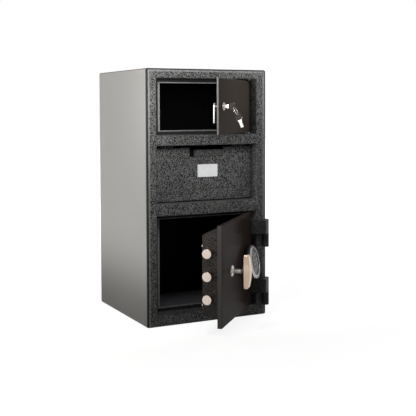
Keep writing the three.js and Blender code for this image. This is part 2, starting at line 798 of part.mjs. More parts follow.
// A flat key lying in Y and Z: blade towards +Y, head towards -Y, its neck ending at y = 0
function keyBody(bladeLength) {
  const blade = [[0, -KEY_BLADE_W / 2]];
  const teeth = Math.floor(bladeLength / (2 * TOOTH_L));
  for (let i = 0; i < teeth; i += 1) {
    blade.push([(2 * i + 1) * TOOTH_L, -KEY_BLADE_W / 2]);
    blade.push([(2 * i + 1.5) * TOOTH_L, -KEY_BLADE_W / 2 + TOOTH_H]);
  }
  blade.push([bladeLength - TOOTH_L / 2, -KEY_BLADE_W / 2]);
  blade.push([bladeLength, 0]);
  blade.push([bladeLength - TOOTH_L / 2, KEY_BLADE_W / 2]);
  blade.push([0, KEY_BLADE_W / 2]);
  const flat = alongX(outline(blade), -KEY_T / 2, KEY_T / 2);
  const neck = alongX(
    rect(-KEY_NECK, 0, -KEY_NECK_W / 2, KEY_NECK_W / 2),
    -KEY_T / 2,
    KEY_T / 2,
  );
  const headShape = roundRect(
    -KEY_NECK - KEY_HEAD_L,
    -KEY_NECK,
    -KEY_HEAD_W / 2,
    KEY_HEAD_W / 2,
    KEY_HEAD_R,
  );
  const head = alongX(headShape, -KEY_HEAD_T / 2, KEY_HEAD_T / 2, DOOR_EDGE);
  const hole = rod(
    "x",
    KEY_HOLE_R,
    [-KEY_HEAD_T / 2 - OVERRUN, KEY_HOLE_Y, 0],
    KEY_HEAD_T + 2 * OVERRUN,
    ROUND / 2,
  );
  return cut(join(flat, neck, head), hole);
}

const KEY_HOLE_Y = -KEY_NECK - KEY_HEAD_L + KEY_HOLE_IN;
const KEY_SEAT = -LOCK_FLANGE_T - FIT;

add(lockTurn, "lock_plug", lockPlug(), brass);
add(lockTurn, "locker_cam", lockerCam(), zinc);

const lockKey = new THREE.Group();
lockKey.position.y = KEY_SEAT - KEY_DRAWN;
lockTurn.add(lockKey);
add(lockKey, "lock_key", keyBody(KEY_BLADE_L + KEY_DRAWN), nickel);

// Split ring hanging in the key's hole, and the spare key hanging in the ring
const WIRE_IN_HOLE = KEY_HOLE_R - RING_WIRE_R - FIT;
const ringSwing = new THREE.Group();
ringSwing.position.set(0, KEY_HOLE_Y, -WIRE_IN_HOLE);
ringSwing.rotation.x = -rad(RING_TILT);
lockKey.add(ringSwing);

function keyRing() {
  const torus = new THREE.TorusGeometry(RING_R, RING_WIRE_R, ROUND / 4, ROUND);
  return solid(torus.rotateX(Math.PI / 2).translate(0, 0, -RING_R));
}

add(ringSwing, "key_ring", keyRing(), zinc);

const spareSwing = new THREE.Group();
spareSwing.position.z = -2 * RING_R;
ringSwing.add(spareSwing);

const spareTilt = new THREE.Group();
spareTilt.rotation.x = -Math.PI / 2 - rad(SPARE_TILT - RING_TILT);
spareSwing.add(spareTilt);

const spareHole = new THREE.Group();
spareHole.position.y = WIRE_IN_HOLE - KEY_HOLE_Y;
spareTilt.add(spareHole);
add(spareHole, "spare_key", keyBody(SPARE_BLADE_L), nickel);

// Outside hinges of the vault door: fixed barrels on the frame, pins, and cranked ears on the door

function hingeBarrel(z) {
  const tube = rod("z", KNUCKLE_R, [VAULT_PIVOT_X, VAULT_PIVOT_Y, z], BARREL_H);
  const half = FOOT_W / 2;
  const foot = slab(
    VAULT_PIVOT_X - half,
    VAULT_PIVOT_X + half,
    VAULT_PIVOT_Y,
    FRONT - FIT,
    z,
    z + BARREL_H,
  );
  const bore = rod(
    "z",
    HINGE_PIN_R + FIT,
    [VAULT_PIVOT_X, VAULT_PIVOT_Y, z - OVERRUN],
    BARREL_H + 2 * OVERRUN,
  );
  return cut(join(tube, foot), bore);
}

function hingePin(z) {
  const length = BARREL_H + EAR_LIFT + EAR_H - EAR_ROOF - 2 * FIT;
  return rod("z", HINGE_PIN_R, [VAULT_PIVOT_X, VAULT_PIVOT_Y, z + FIT], length);
}

const HINGE_Z = [
  VAULT_Z0 - HINGE_DROP,
  VAULT_Z1 - HINGE_TOP_INSET - EAR_H - EAR_LIFT - BARREL_H,
];
const hingeNames = ["lower", "upper"];
hingeNames.forEach((name, i) => {
  add(safe, `hinge_barrel_${name}`, hingeBarrel(HINGE_Z[i]), powderCoat);
  add(safe, `hinge_pin_${name}`, hingePin(HINGE_Z[i]), darkSteel);
});

const vaultDoor = new THREE.Group();
vaultDoor.position.set(VAULT_PIVOT_X, VAULT_PIVOT_Y, 0);
vaultDoor.rotation.z = rad(VAULT_OPEN_ANGLE);
safe.add(vaultDoor);

const VAULT_FACE = RECESS + PIVOT_FRONT;
const VAULT_REAR = VAULT_FACE + VAULT_T;
const VAULT_FREE = OPEN_L + VAULT_FREE_GAP - VAULT_PIVOT_X;
const VAULT_HINGE = OPEN_R - HINGE_GAP - VAULT_PIVOT_X;
const VAULT_LOW = VAULT_Z0 + VAULT_LOW_GAP;
const VAULT_HIGH = VAULT_Z1 - DOOR_GAP;
const HANDLE_X = VAULT_FREE + HANDLE_INSET;
const HANDLE_Z = (VAULT_LOW + VAULT_HIGH) / 2 + HANDLE_RISE;
const KEYPAD_X = VAULT_HINGE - KEYPAD_HINGE_INSET;
const KEYPAD_Z = HANDLE_Z - KEYPAD_DROP;

function vaultPlate() {
  const plate = alongY(
    rect(VAULT_FREE, VAULT_HINGE, VAULT_LOW, VAULT_HIGH),
    VAULT_FACE,
    VAULT_REAR,
    DOOR_EDGE,
  );
  const through = VAULT_T + 2 * OVERRUN;
  const spindleHole = rod("y", SHAFT_R + FIT, [HANDLE_X, VAULT_FACE - OVERRUN, HANDLE_Z], through);
  const cableHole = rod("y", CABLE_HOLE_R, [KEYPAD_X, VAULT_FACE - OVERRUN, KEYPAD_Z], through);
  return cut(plate, spindleHole, cableHole);
}

// Cranked ear: knuckle, arm across the stile, and a leg back to the door's face
function hingeEar(z) {
  const back = PIVOT_FRONT - ARM_CLEAR;
  const out = VAULT_HINGE - EAR_T;
  const end = VAULT_FACE - FIT;
  const turn = Math.atan2(back, -Math.sqrt(KNUCKLE_R ** 2 - back ** 2));
  const shape = new THREE.Shape();
  shape.moveTo(0, -KNUCKLE_R);
  shape.lineTo(out + EAR_R, -KNUCKLE_R);
  shape.absarc(out + EAR_R, -KNUCKLE_R + EAR_R, EAR_R, -Math.PI / 2, -Math.PI, true);
  shape.lineTo(out, end);
  shape.lineTo(VAULT_HINGE, end);
  shape.lineTo(VAULT_HINGE, back);
  shape.absarc(0, 0, KNUCKLE_R, turn, -Math.PI / 2, true);
  const ear = upward(shape, z, z + EAR_H);
  return cut(ear, rod("z", HINGE_PIN_R + FIT, [0, 0, z - OVERRUN], OVERRUN + EAR_H - EAR_ROOF));
}

add(vaultDoor, "vault_door", vaultPlate(), smoothCoat);
hingeNames.forEach((name, i) => {
  add(vaultDoor, `hinge_ear_${name}`, hingeEar(HINGE_Z[i] + BARREL_H + EAR_LIFT), powderCoat);
});

// Box round the bolt work
const BOX_L = VAULT_FREE + BOX_FREE_INSET;
const BOX_R = VAULT_HINGE - BOX_HINGE_INSET;
const BOX_Y0 = VAULT_REAR + FIT;
const BOX_Y1 = BOX_Y0 + BOX_DEPTH;
const BOX_Z0 = VAULT_LOW + BOX_LOW_INSET;
const BOX_Z1 = VAULT_HIGH - BOX_TOP_INSET;
const BOX_Z = (BOX_Z0 + BOX_Z1) / 2;
const BOLT_Y = VAULT_REAR + BOLT_BACK;
const BOLT_PITCH = BOLT_SHARE * (BOX_Z1 - BOX_Z0);
const BOLT_Z = [-BOLT_PITCH, 0, BOLT_PITCH].map((z) => BOX_Z + z);
const BOLT_INNER = BOX_L - BOLT_OUT + BOLT_L;

function boltBox() {
  const inner = rect(BOX_L + BOX_WALL, BOX_R - BOX_WALL, BOX_Z0 + BOX_WALL, BOX_Z1 - BOX_WALL);
  const walls = alongY(
    ring(roundRect(BOX_L, BOX_R, BOX_Z0, BOX_Z1, BOX_WALL / 2), inner),
    BOX_Y0,
    BOX_Y1 - BOX_WALL,
  );
  const holes = BOLT_Z.map((z) =>
    rod("x", BOLT_R + FIT, [BOX_L - OVERRUN, BOLT_Y, z], BOX_WALL + 2 * OVERRUN),
  );
  return cut(walls, ...holes);
}

function boltBoxCover() {
  const shape = roundRect(BOX_L, BOX_R, BOX_Z0, BOX_Z1, BOX_WALL / 2);
  return alongY(shape, BOX_Y1 - BOX_WALL + FIT, BOX_Y1 + FIT);
}

add(vaultDoor, "bolt_box", boltBox(), powderCoat);
add(vaultDoor, "bolt_box_cover", boltBoxCover(), powderCoat);

// Bolt bar: upright that carries the bolts, slotted plate for the crank, notched tail for the lock
const BAR_X0 = BOLT_INNER + FIT;
const BAR_X1 = BAR_X0 + BAR_T;
const PLUNGER_X = BAR_X1 + CASE_SIDE + CASE_W / 2;
const TAIL_X1 = PLUNGER_X + BOLT_THROW + NOTCH_W / 2 + TAIL_END;
const TAIL_LOW = BOX_Z + TAIL_Z - TAIL_H / 2;
const CRANK_Y = VAULT_REAR + CRANK_GAP;
const BAR_PLATE_Y = CRANK_Y + CRANK_T + CRANK_CLEAR;
const CRANK_PIN_X = HANDLE_X + CRANK_R * Math.sin(rad(CRANK_ANGLE));
const CRANK_PIN_Z = HANDLE_Z + CRANK_R * Math.cos(rad(CRANK_ANGLE));

function boltBar() {
  const half = BOLT_PITCH + BAR_END;
  const upright = slab(BAR_X0, BAR_X1, BAR_PLATE_Y, BOLT_Y + BAR_REAR, BOX_Z - half, BOX_Z + half);
  const plateX = CRANK_PIN_X - BAR_PLATE_W / 2;
  const plateZ = CRANK_PIN_Z - BAR_PLATE_H / 2;
  const plateEnd = BAR_PLATE_Y + BAR_PLATE_T;
  const plate = slab(plateX, BAR_X1, BAR_PLATE_Y, plateEnd, plateZ, plateZ + BAR_PLATE_H);
  const tail = slab(BAR_X1, TAIL_X1, BOLT_Y, BOLT_Y + TAIL_T, TAIL_LOW, TAIL_LOW + TAIL_H);
  const slot = slab(
    CRANK_PIN_X - SLOT_W / 2,
    CRANK_PIN_X + SLOT_W / 2,
    BAR_PLATE_Y - OVERRUN,
    plateEnd + FIT + CRANK_PIN_OUT,
    CRANK_PIN_Z - SLOT_W,
    CRANK_PIN_Z + CRANK_R - CRANK_R * Math.cos(rad(CRANK_ANGLE)) + SLOT_W,
  );
  const notches = [PLUNGER_X, PLUNGER_X + BOLT_THROW].map((x) =>
    slab(
      x - NOTCH_W / 2,
      x + NOTCH_W / 2,
      BOLT_Y - OVERRUN,
      BOLT_Y + TAIL_T + OVERRUN,
      TAIL_LOW - OVERRUN,
      TAIL_LOW + NOTCH_H,
    ),
  );
  const tenonHoles = BOLT_Z.map((z) =>
    rod("x", TENON_R + FIT, [BAR_X0 - OVERRUN, BOLT_Y, z], BAR_T + 2 * OVERRUN),
  );
  return cut(join(upright, plate, tail), slot, ...notches, ...tenonHoles);
}

function bolt(z) {
  const profile = [
    [0, -BAR_T],
    [TENON_R, -BAR_T],
    [TENON_R, 0],
    [BOLT_R, 0],
    [BOLT_R, BOLT_L - BOLT_CHAMFER],
    [BOLT_R - BOLT_CHAMFER, BOLT_L],
    [0, BOLT_L],
  ];
  return solid(lathed(profile).rotateZ(-Math.PI / 2).translate(BOLT_INNER, BOLT_Y, z));
}

const boltWork = new THREE.Group();
vaultDoor.add(boltWork);
add(boltWork, "bolt_bar", boltBar(), zinc);
["bottom", "middle", "top"].forEach((name, i) => {
  add(boltWork, `bolt_${name}`, bolt(BOLT_Z[i]), nickel);
});

// Solenoid lock: its plunger rises into a notch of the tail
const CASE_Z1 = TAIL_LOW - CASE_GAP;
const PLUNGER_Y = BOLT_Y + TAIL_T / 2;
const PLUNGER_TIP = TAIL_LOW - PLUNGER_OUT;

function lockCase() {
  const half = CASE_W / 2;
  const body = alongY(
    roundRect(PLUNGER_X - half, PLUNGER_X + half, CASE_Z1 - CASE_H, CASE_Z1, CORNER_R),
    VAULT_REAR + FIT,
    VAULT_REAR + CASE_DEPTH,
    DOOR_EDGE,
  );
  const bore = rod(
    "z",
    PLUNGER_R + FIT,
    [PLUNGER_X, PLUNGER_Y, PLUNGER_TIP - PLUNGER_L - FIT],
    PLUNGER_L + OVERRUN,
  );
  return cut(body, bore);
}

add(vaultDoor, "lock_case", lockCase(), darkSteel);
add(
  vaultDoor,
  "lock_plunger",
  rod("z", PLUNGER_R, [PLUNGER_X, PLUNGER_Y, PLUNGER_TIP - PLUNGER_L], PLUNGER_L),
  zinc,
);

// T-handle with its shaft and square spindle, the rosette it turns in, and the crank it drives
const handle = new THREE.Group();
handle.position.set(HANDLE_X, VAULT_FACE, HANDLE_Z);
vaultDoor.add(handle);

function tHandle() {
  const half = HANDLE_W / 2;
  const tip = half * HANDLE_TIP_SHARE;
  const end = HANDLE_L / 2 - tip;
  const shape = new THREE.Shape();
  shape.moveTo(half, 0);
  shape.quadraticCurveTo(half, end / 2, tip, end);
  shape.absarc(0, end, tip, 0, Math.PI);
  shape.quadraticCurveTo(-half, end / 2, -half, 0);
  shape.quadraticCurveTo(-half, -end / 2, -tip, -end);
  shape.absarc(0, -end, tip, Math.PI, 2 * Math.PI);
  shape.quadraticCurveTo(half, -end / 2, half, 0);
  const front = -HANDLE_STAND - HANDLE_THICK;
  const bar = alongY(shape, front, -HANDLE_STAND, HANDLE_ROUND, EDGE_STEPS);
  const above = [
    [front - OVERRUN, -HANDLE_L / 2 - OVERRUN],
    [front + HANDLE_CROWN, -HANDLE_L / 2 - OVERRUN],
  ];
  for (let i = 0; i <= CROWN_STEPS; i += 1) {
    const share = (2 * i) / CROWN_STEPS - 1;
    above.push([front + HANDLE_CROWN * share ** 2, (share * HANDLE_L) / 2]);
  }
  above.push([front + HANDLE_CROWN, HANDLE_L / 2 + OVERRUN]);
  above.push([front - OVERRUN, HANDLE_L / 2 + OVERRUN]);
  const grip = cut(bar, alongX(outline(above.reverse()), -HANDLE_W, HANDLE_W));
  const shaftEnd = VAULT_T + CRANK_GAP - FIT;
  const shaft = rod("y", SHAFT_R, [0, -HANDLE_STAND - OVERRUN, 0], HANDLE_STAND + OVERRUN + shaftEnd);
  const side = SPINDLE_SIDE / 2;
  const spindle = slab(-side, side, 0, VAULT_T + CRANK_GAP + CRANK_T, -side, side);
  return join(grip, shaft, spindle);
}

function crank() {
  const y = VAULT_T + CRANK_GAP;
  const [px, pz] = [CRANK_PIN_X - HANDLE_X, CRANK_PIN_Z - HANDLE_Z];
  const endR = 2 * CRANK_PIN_R;
  const [ux, uz] = [px / CRANK_R, pz / CRANK_R];
  const arm = outline([
    [-uz * CRANK_HUB_R, ux * CRANK_HUB_R],
    [uz * CRANK_HUB_R, -ux * CRANK_HUB_R],
    [px + uz * endR, pz - ux * endR],
    [px - uz * endR, pz + ux * endR],
  ]);
  const pinL = CRANK_CLEAR + BAR_PLATE_T + CRANK_PIN_OUT;
  const body = join(
    rod("y", CRANK_HUB_R, [0, y, 0], CRANK_T),
    rod("y", endR, [px, y, pz], CRANK_T),
    alongY(arm, y, y + CRANK_T),
    rod("y", CRANK_PIN_R, [px, y, pz], CRANK_T + pinL),
  );
  const side = SPINDLE_SIDE / 2 + FIT;
  return cut(body, slab(-side, side, y - OVERRUN, y + CRANK_T + OVERRUN, -side, side));
}

function rosette() {
  const profile = [
    [SHAFT_R + FIT, FIT],
    [ROSETTE_R, FIT],
    [ROSETTE_R - DOOR_EDGE, ROSETTE_T],
    [SHAFT_R + FIT, ROSETTE_T],
    [SHAFT_R + FIT, FIT],
  ];
  return turned(profile, [HANDLE_X, VAULT_FACE, HANDLE_Z]);
}

add(handle, "t_handle", tHandle(), chrome);
add(handle, "bolt_crank", crank(), zinc);
add(vaultDoor, "handle_rosette", rosette(), darkSteel);

// Keypad: round wedge housing whose face leans back, bezel, face plate and twelve keys
const keypad = new THREE.Group();
keypad.position.set(KEYPAD_X, VAULT_FACE - KEYPAD_H, KEYPAD_Z);
keypad.rotation.x = -rad(KEYPAD_TILT);
vaultDoor.add(keypad);

const FACE_LOW = FIT;
const FACE_HIGH = FACE_LOW + FACE_PLATE_T;
const KEY_TOP = FACE_HIGH + KEYCAP_OUT;

// Drawn in the leaning face's own frame: a rim, and below it a barrel that meets the door squarely
function keypadHousing() {
  const top = KEYPAD_R - KEYPAD_RIM_IN;
  const rim = [
    [0, -KEYPAD_RIM],
    [top, -KEYPAD_RIM],
    [top, -KEYPAD_EDGE],
    [top - KEYPAD_EDGE * (1 - Math.SQRT1_2), -KEYPAD_EDGE * (1 - Math.SQRT1_2)],
    [top - KEYPAD_EDGE, 0],
    [0, 0],
  ];
  const barrel = new THREE.CylinderGeometry(KEYPAD_R, KEYPAD_R, 2 * KEYPAD_H, FINE);
  barrel.translate(0, -FIT, 0).rotateX(rad(KEYPAD_TILT));
  const ahead = slab(-BODY_W, BODY_W, -BODY_W, KEYPAD_RIM / 2, -BODY_W, BODY_W);
  const pocket = rod("y", KEYPAD_POCKET_R, [0, -OVERRUN, 0], OVERRUN + KEYPAD_POCKET, FINE);
  return cut(join(turned(rim, [0, 0, 0], FINE), cut(solid(barrel), ahead)), pocket);
}

function keypadBezel() {
  const profile = [
    [BEZEL_BORE_R, FACE_LOW],
    [BEZEL_R, FACE_LOW],
    [BEZEL_R, FACE_LOW + BEZEL_H - BEZEL_CROWN],
    [BEZEL_R - BEZEL_CROWN, FACE_LOW + BEZEL_H],
    [BEZEL_BORE_R + BEZEL_CROWN, FACE_LOW + BEZEL_H],
    [BEZEL_BORE_R, FACE_LOW + BEZEL_H - BEZEL_CROWN],
    [BEZEL_BORE_R, FACE_LOW],
  ];
  return turned(profile, [0, 0, 0], FINE);
}

function keyOutline(x, z, grow) {
  const [w, h] = [KEYCAP_W / 2 + grow, KEYCAP_H / 2 + grow];
  return roundRect(x - w, x + w, z - h, z + h, KEYCAP_R + grow);
}

const keyPlaces = [];
for (let row = 0; row < KEY_ROWS; row += 1) {
  for (let column = 0; column < KEY_COLUMNS; column += 1) {
    const x = (column - (KEY_COLUMNS - 1) / 2) * KEY_PITCH_X;
    const z = ((KEY_ROWS - 1) / 2 - row) * KEY_PITCH_Z;
    keyPlaces.push([x, z]);
  }
}

function keypadFace() {
  const disc = new THREE.Shape();
  disc.absarc(0, 0, BEZEL_BORE_R - FIT, 0, 2 * Math.PI);
  for (const [x, z] of keyPlaces) disc.holes.push(keyOutline(x, z, KEYCAP_GAP));
  return alongY(disc, -FACE_HIGH, -FACE_LOW);
}

function keycap([x, z]) {
  return alongY(keyOutline(x, z, 0), -KEY_TOP, -KEY_TOP + KEYCAP_L, KEYCAP_EDGE);
}

add(keypad, "keypad_housing", keypadHousing(), blackPlastic);
add(keypad, "keypad_bezel", keypadBezel(), paleMetal);
add(keypad, "keypad_face", keypadFace(), greyField);
const keyNames = ["1", "2", "3", "4", "5", "6", "7", "8", "9", "left", "0", "right"];
keyPlaces.forEach((place, i) => {
  add(keypad, `key_${keyNames[i]}`, keycap(place), keyWhite);
});

export default safe;
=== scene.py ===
"""Looks of the drop safe with deposit drawer: its coats, smooth fittings and studio."""

import math
from itertools import product

import bmesh
import bpy
import numpy as np
from bpy.props import FloatProperty, FloatVectorProperty, PointerProperty
from mathutils import Matrix


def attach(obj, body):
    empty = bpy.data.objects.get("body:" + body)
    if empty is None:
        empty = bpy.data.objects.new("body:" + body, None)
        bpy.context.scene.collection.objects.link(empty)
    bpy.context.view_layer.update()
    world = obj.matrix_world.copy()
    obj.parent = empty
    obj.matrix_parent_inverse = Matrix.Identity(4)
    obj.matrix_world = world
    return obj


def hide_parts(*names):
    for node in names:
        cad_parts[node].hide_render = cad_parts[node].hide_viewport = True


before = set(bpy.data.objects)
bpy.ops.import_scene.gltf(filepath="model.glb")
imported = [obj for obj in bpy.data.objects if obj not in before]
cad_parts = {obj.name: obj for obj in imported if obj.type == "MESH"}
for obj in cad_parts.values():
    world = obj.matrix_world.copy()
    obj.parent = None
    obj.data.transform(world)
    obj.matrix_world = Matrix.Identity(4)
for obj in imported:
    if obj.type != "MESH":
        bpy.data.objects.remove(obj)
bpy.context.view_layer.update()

bl_info = {
    "name": "Drop Safe Looks",
    "version": (1, 0, 0),
    "blender": (4, 5, 0),
    "location": "3D View > Sidebar > Safe",
    "description": "Coats, fittings and studio for a drop safe with a deposit drawer",
    "category": "Object",
}

MM = 0.001
UPWARD = np.array([0.0, 0.0, 1.0])

# A fitting's heights are measured from so far under the face that it stands on, in millimetres
SUNK = 0.3

# Tone of the painted highlights on the frame's rim and the stop frames' lips, and of zinc plating
HIGHLIGHT_TONE = (0.62, 0.62, 0.61, 1.0)
ZINC = (0.60, 0.61, 0.60)


def standing(angle, lean=0.0):
    """Directions of a face swung by angle about Z, in rows: across it to its free side, out of it,
    and up it. A lean tips its top back."""
    turn, tip = math.radians(angle), math.radians(lean)
    across = np.array([-math.cos(turn), -math.sin(turn), 0.0])
    level = np.array([math.sin(turn), -math.cos(turn), 0.0])
    out = level * math.cos(tip) + UPWARD * math.sin(tip)
    return np.stack((across, out, UPWARD * math.cos(tip) - level * math.sin(tip)))


# How far the doors stand open at rest and the keypad leans back on its door, in degrees
LOCKER_SWING, VAULT_SWING, KEYPAD_LEAN = 45.0, 46.25, 10.0

# How the faces stand at rest
CABINET = standing(0.0)
LOCKER = standing(LOCKER_SWING)
VAULT = standing(VAULT_SWING)
KEYPAD = standing(VAULT_SWING, KEYPAD_LEAN)
DOOR_TURN = -math.radians(VAULT_SWING)

# The photograph's camera
CAMERA_PLACE = (-1.060, -2.277, 0.585)
CAMERA_YAW = math.radians(26.81)
CAMERA_PITCH = math.radians(-2.77)
CAMERA_ROLL = math.radians(-0.19)
CAMERA_LENS = 74.57
CAMERA_SHIFT_Y = -0.139

DIGIT_NAMES = "1234567890"


class Wire:
    """A shader value. Each operator adds the Math node that works it out."""

    def __init__(self, finish, socket):
        self.finish = finish
        self.socket = socket

    def math(self, operation, *others):
        """The Math node of that operation on this value and the others."""
        values = dict(enumerate((self, *others)))
        return self.finish.node("ShaderNodeMath", {"operation": operation}, values)

    def __add__(self, other):
        return self.math("ADD", other)

    __radd__ = __add__

    def __sub__(self, other):
        return self.math("SUBTRACT", other)

    def __rsub__(self, other):
        return (self * -1.0) + other

    def __mul__(self, other):
        return self.math("MULTIPLY", other)

    def above(self, level):
        """1 where the value is greater than level, else 0."""
        return self.math("GREATER_THAN", level)

    def or_more(self, other):
        """The greater of the value and the other."""
        return self.math("MAXIMUM", other)


class Finish:
    """A material, or the world. place is the point on the piece, in metres, in the safe's own frame."""

    def __init__(self, name, block=None):
        self.block = block or bpy.data.materials.new(name)
        self.block.use_nodes = True
        self.tree = self.block.node_tree
        self.tree.nodes.clear()
        self.place = self.node("ShaderNodeTexCoord", out="Object")

    def node(self, kind, settings=None, values=None, out=0):
        """A node of that kind with its settings, then its sockets' values or wires."""
        made = self.tree.nodes.new(kind)
        for key, value in (settings or {}).items():
            if key == "stops":
                self.set_stops(made.color_ramp, value)
            else:
                setattr(made, key, value)
        for key, value in (values or {}).items():
            if isinstance(value, Wire):
                self.tree.links.new(value.socket, made.inputs[key])
            else:
                made.inputs[key].default_value = value
        return Wire(self, made.outputs[out]) if len(made.outputs) else None

    @staticmethod
    def set_stops(ramp, stops):
        """Ramp stops as (position, level) pairs, in rising order."""
        while len(ramp.elements) < len(stops):
            ramp.elements.new(1.0)
        for element, (position, level) in zip(ramp.elements, stops, strict=True):
            element.position = position
            element.color = grey(level)

    def coordinates(self):
        """The point's x, y and z."""
        split = {"Vector": self.place}
        return [self.node("ShaderNodeSeparateXYZ", {}, split, axis) for axis in ("X", "Y", "Z")]

    def along_door(self, stretch):
        """The point in the open vault door's own directions, stretched along each of them."""
        turn = {"Vector": self.place, "Rotation": (0.0, 0.0, DOOR_TURN)}
        turned = self.node("ShaderNodeMapping", {"vector_type": "POINT"}, turn)
        return self.node("ShaderNodeMapping", {}, {"Vector": turned, "Scale": stretch})

    def noise(self, scale, detail=2.0, roughness=0.5, place=None):
        """Soft noise from 0 to 1, scale features to the metre."""
        values = {"Vector": place or self.place, "Scale": scale, "Detail": detail}
        return self.node("ShaderNodeTexNoise", {}, {**values, "Roughness": roughness})

    def cells(self, scale):
        """Distance to the nearest of scale scattered points to the metre, 0 at each."""
        values = {"Vector": self.place, "Scale": scale}
        return self.node("ShaderNodeTexVoronoi", {"feature": "F1"}, values, "Distance")

    def vector(self, operation, *values, out=0):
        """The Vector Math node of that operation on those vectors."""
        values = dict(enumerate(values))
        return self.node("ShaderNodeVectorMath", {"operation": operation}, values, out)

    def ramp(self, value, *stops):
        """value read through straight steps between (position, result) pairs."""
        return self.node("ShaderNodeValToRGB", {"stops": stops}, {"Fac": value})

    def blend(self, share, first, second):
        """first where share is 0, second where it is 1; both are colours."""
        values = {0: share, 6: first, 7: second}
        return self.node("ShaderNodeMix", {"data_type": "RGBA"}, values, 2)

    def bump(self, height, depth):
        """The surface raised by height times depth in metres."""
        values = {"Height": height, "Distance": depth, "Strength": 1.0}
        return self.node("ShaderNodeBump", {}, values)

    def surface(self, **sockets):
        """Ends the material in one Principled shader. An underscore stands for a space."""
        values = {key.replace("_", " "): value for key, value in sockets.items()}
        shader = self.node("ShaderNodeBsdfPrincipled", {}, values)
        self.node("ShaderNodeOutputMaterial", {}, {"Surface": shader})
        return self.block


def shade(colour, factor):
    """A colour made lighter or darker by factor, with alpha 1."""
    return tuple(channel * factor for channel in colour[:3]) + (1.0,)


def grey(level):
    """A grey of that level, with alpha 1."""
    return (level, level, level, 1.0)


def rim_highlight(finish, toned, corner):
    """A coat with a painted highlight on the frame's rounding, dark beyond it. With r the greater of
    |x| - X and z - Z for corner (X, Z), the painted highlight is palest from r = 2.5 to 5 mm, and the
    coat is dark from 6 mm on."""
    x, _, z = finish.coordinates()
    beyond = (x.math("ABSOLUTE") - corner[0]).or_more(z - corner[1])
    # Painted highlight on the frame's rounding, palest from 2.5 to 5 mm out
    painted_highlight = finish.ramp(beyond * 100.0, (0.0, 0.0), (0.25, 1.0), (0.5, 1.0), (0.6, 0.0))
    outside = (beyond - 6.0 * MM).above(0.0)
    return finish.blend(outside, finish.blend(painted_highlight * 0.3, toned, HIGHLIGHT_TONE), grey(0.030))


def lip_highlight_and_shadow(finish, toned, low, high):
    """A coat painted dark as shadow but for a pale painted highlight on its lip, 2.6 mm wide, round a
    hole. low and high are the hole's corners in x and z."""
    x, _, z = finish.coordinates()
    wide = (x - (low[0] + high[0]) / 2).math("ABSOLUTE") - (high[0] - low[0]) / 2
    tall = (z - (low[1] + high[1]) / 2).math("ABSOLUTE") - (high[1] - low[1]) / 2
    lip = 1.0 - (wide.or_more(tall) - 2.6 * MM).above(0.0)
    # Painted shadow over the stop frame, painted highlight on the lip
    return finish.blend(lip, grey(0.024), finish.blend(0.3, toned, HIGHLIGHT_TONE))


def shaded_hollow(finish, toned, back, foot):
    """A coat with painted shade in a hollow: near-black where max(y - back, foot - z) > 0."""
    _, y, z = finish.coordinates()
    return finish.blend((y - back).or_more(foot - z).above(0.0), toned, grey(0.004))


def powder_coat(name, colours, grain, depth, gloss, change=None):
    """Wrinkle coat: rounded grains, grain of them to the metre, over finer ones. colours are those of
    its furrows and of its crowns; the crowns' paler colour is partly the coat's own speckle and partly
    painted glints. depth is the grains' height in metres. change is a function that paints highlight
    and shade into its tone from place to place, with that function's values."""
    finish = Finish(name)
    coarse = finish.noise(grain, 2.0, 0.55)
    fine = finish.noise(grain * 2.6, 2.0, 0.5)
    relief = finish.ramp(coarse * 0.85 + fine * 0.15, (0.44, 0.0), (0.57, 1.0))
    broad = finish.noise(9.0, 2.0)
    furrow, crown = (tuple(colour) + (1.0,) for colour in colours)
    toned = finish.blend(relief * (broad * 0.5 + 0.75), furrow, crown)
    return finish.surface(
        Base_Color=change[0](finish, toned, *change[1:]) if change else toned,
        Roughness=0.5 - (relief - 0.5) * 0.16 + (broad - 0.5) * 0.1,
        Specular_IOR_Level=gloss,
        Normal=finish.bump(relief, depth),
    )


def sheet_coat(name, colour, inside, corner):
    """Fine sheet coat. It is colour on the outer skin, where max(|x| - X, y - Y, z - Z) > 0 for corner
    (X, Y, Z); colour's pale grey is partly the sides' own paint and partly painted sheen. Behind the
    skin it is inside, a near-black painted shade."""
    finish = Finish(name)
    x, y, z = finish.coordinates()
    beyond = (x.math("ABSOLUTE") - corner[0]).or_more(y - corner[1])
    outer = beyond.or_more(z - corner[2]).above(0.0)
    grains = finish.noise(900.0, 2.0)
    broad = finish.noise(5.0, 2.0)
    toned = finish.blend(grains * 0.7 + broad * 0.3, shade(colour, 0.86), shade(colour, 1.14))
    return finish.surface(
        Base_Color=finish.blend(outer, inside, toned),
        Roughness=(broad - 0.5) * 0.12 + 0.5,
        Specular_IOR_Level=0.1,
        Normal=finish.bump(grains, 0.00005),
    )


def smooth_coat(name, colour, roughness, gloss, across, reach, pale):
    """Smooth stoved coat: a faint orange-peel skin, wiped in soft bands, with a few fine specks. The
    free edge, where place . across > reach, is painted pale, the painted highlight's colour."""
    finish = Finish(name)
    along = finish.vector("DOT_PRODUCT", finish.place, across, out="Value")
    # Painted highlight on the door's free edge
    painted_highlight = (along - reach).above(0.0)
    peel = finish.noise(330.0, 2.0, 0.4)
    wiped = finish.noise(1.0, 3.0, 0.6, finish.along_door((9.0, 9.0, 30.0)))
    specks = finish.ramp(finish.cells(210.0), (0.0, 1.0), (0.1, 0.0))
    toned = finish.blend(wiped, shade(colour, 0.82), shade(colour, 1.2))
    return finish.surface(
        Base_Color=finish.blend(painted_highlight, finish.blend(specks * 0.3, toned, shade(colour, 3.0)), pale),
        Roughness=roughness + (wiped - 0.5) * 0.16 + specks * 0.1,
        Specular_IOR_Level=gloss,
        Normal=finish.bump(peel, 0.00006),
    )


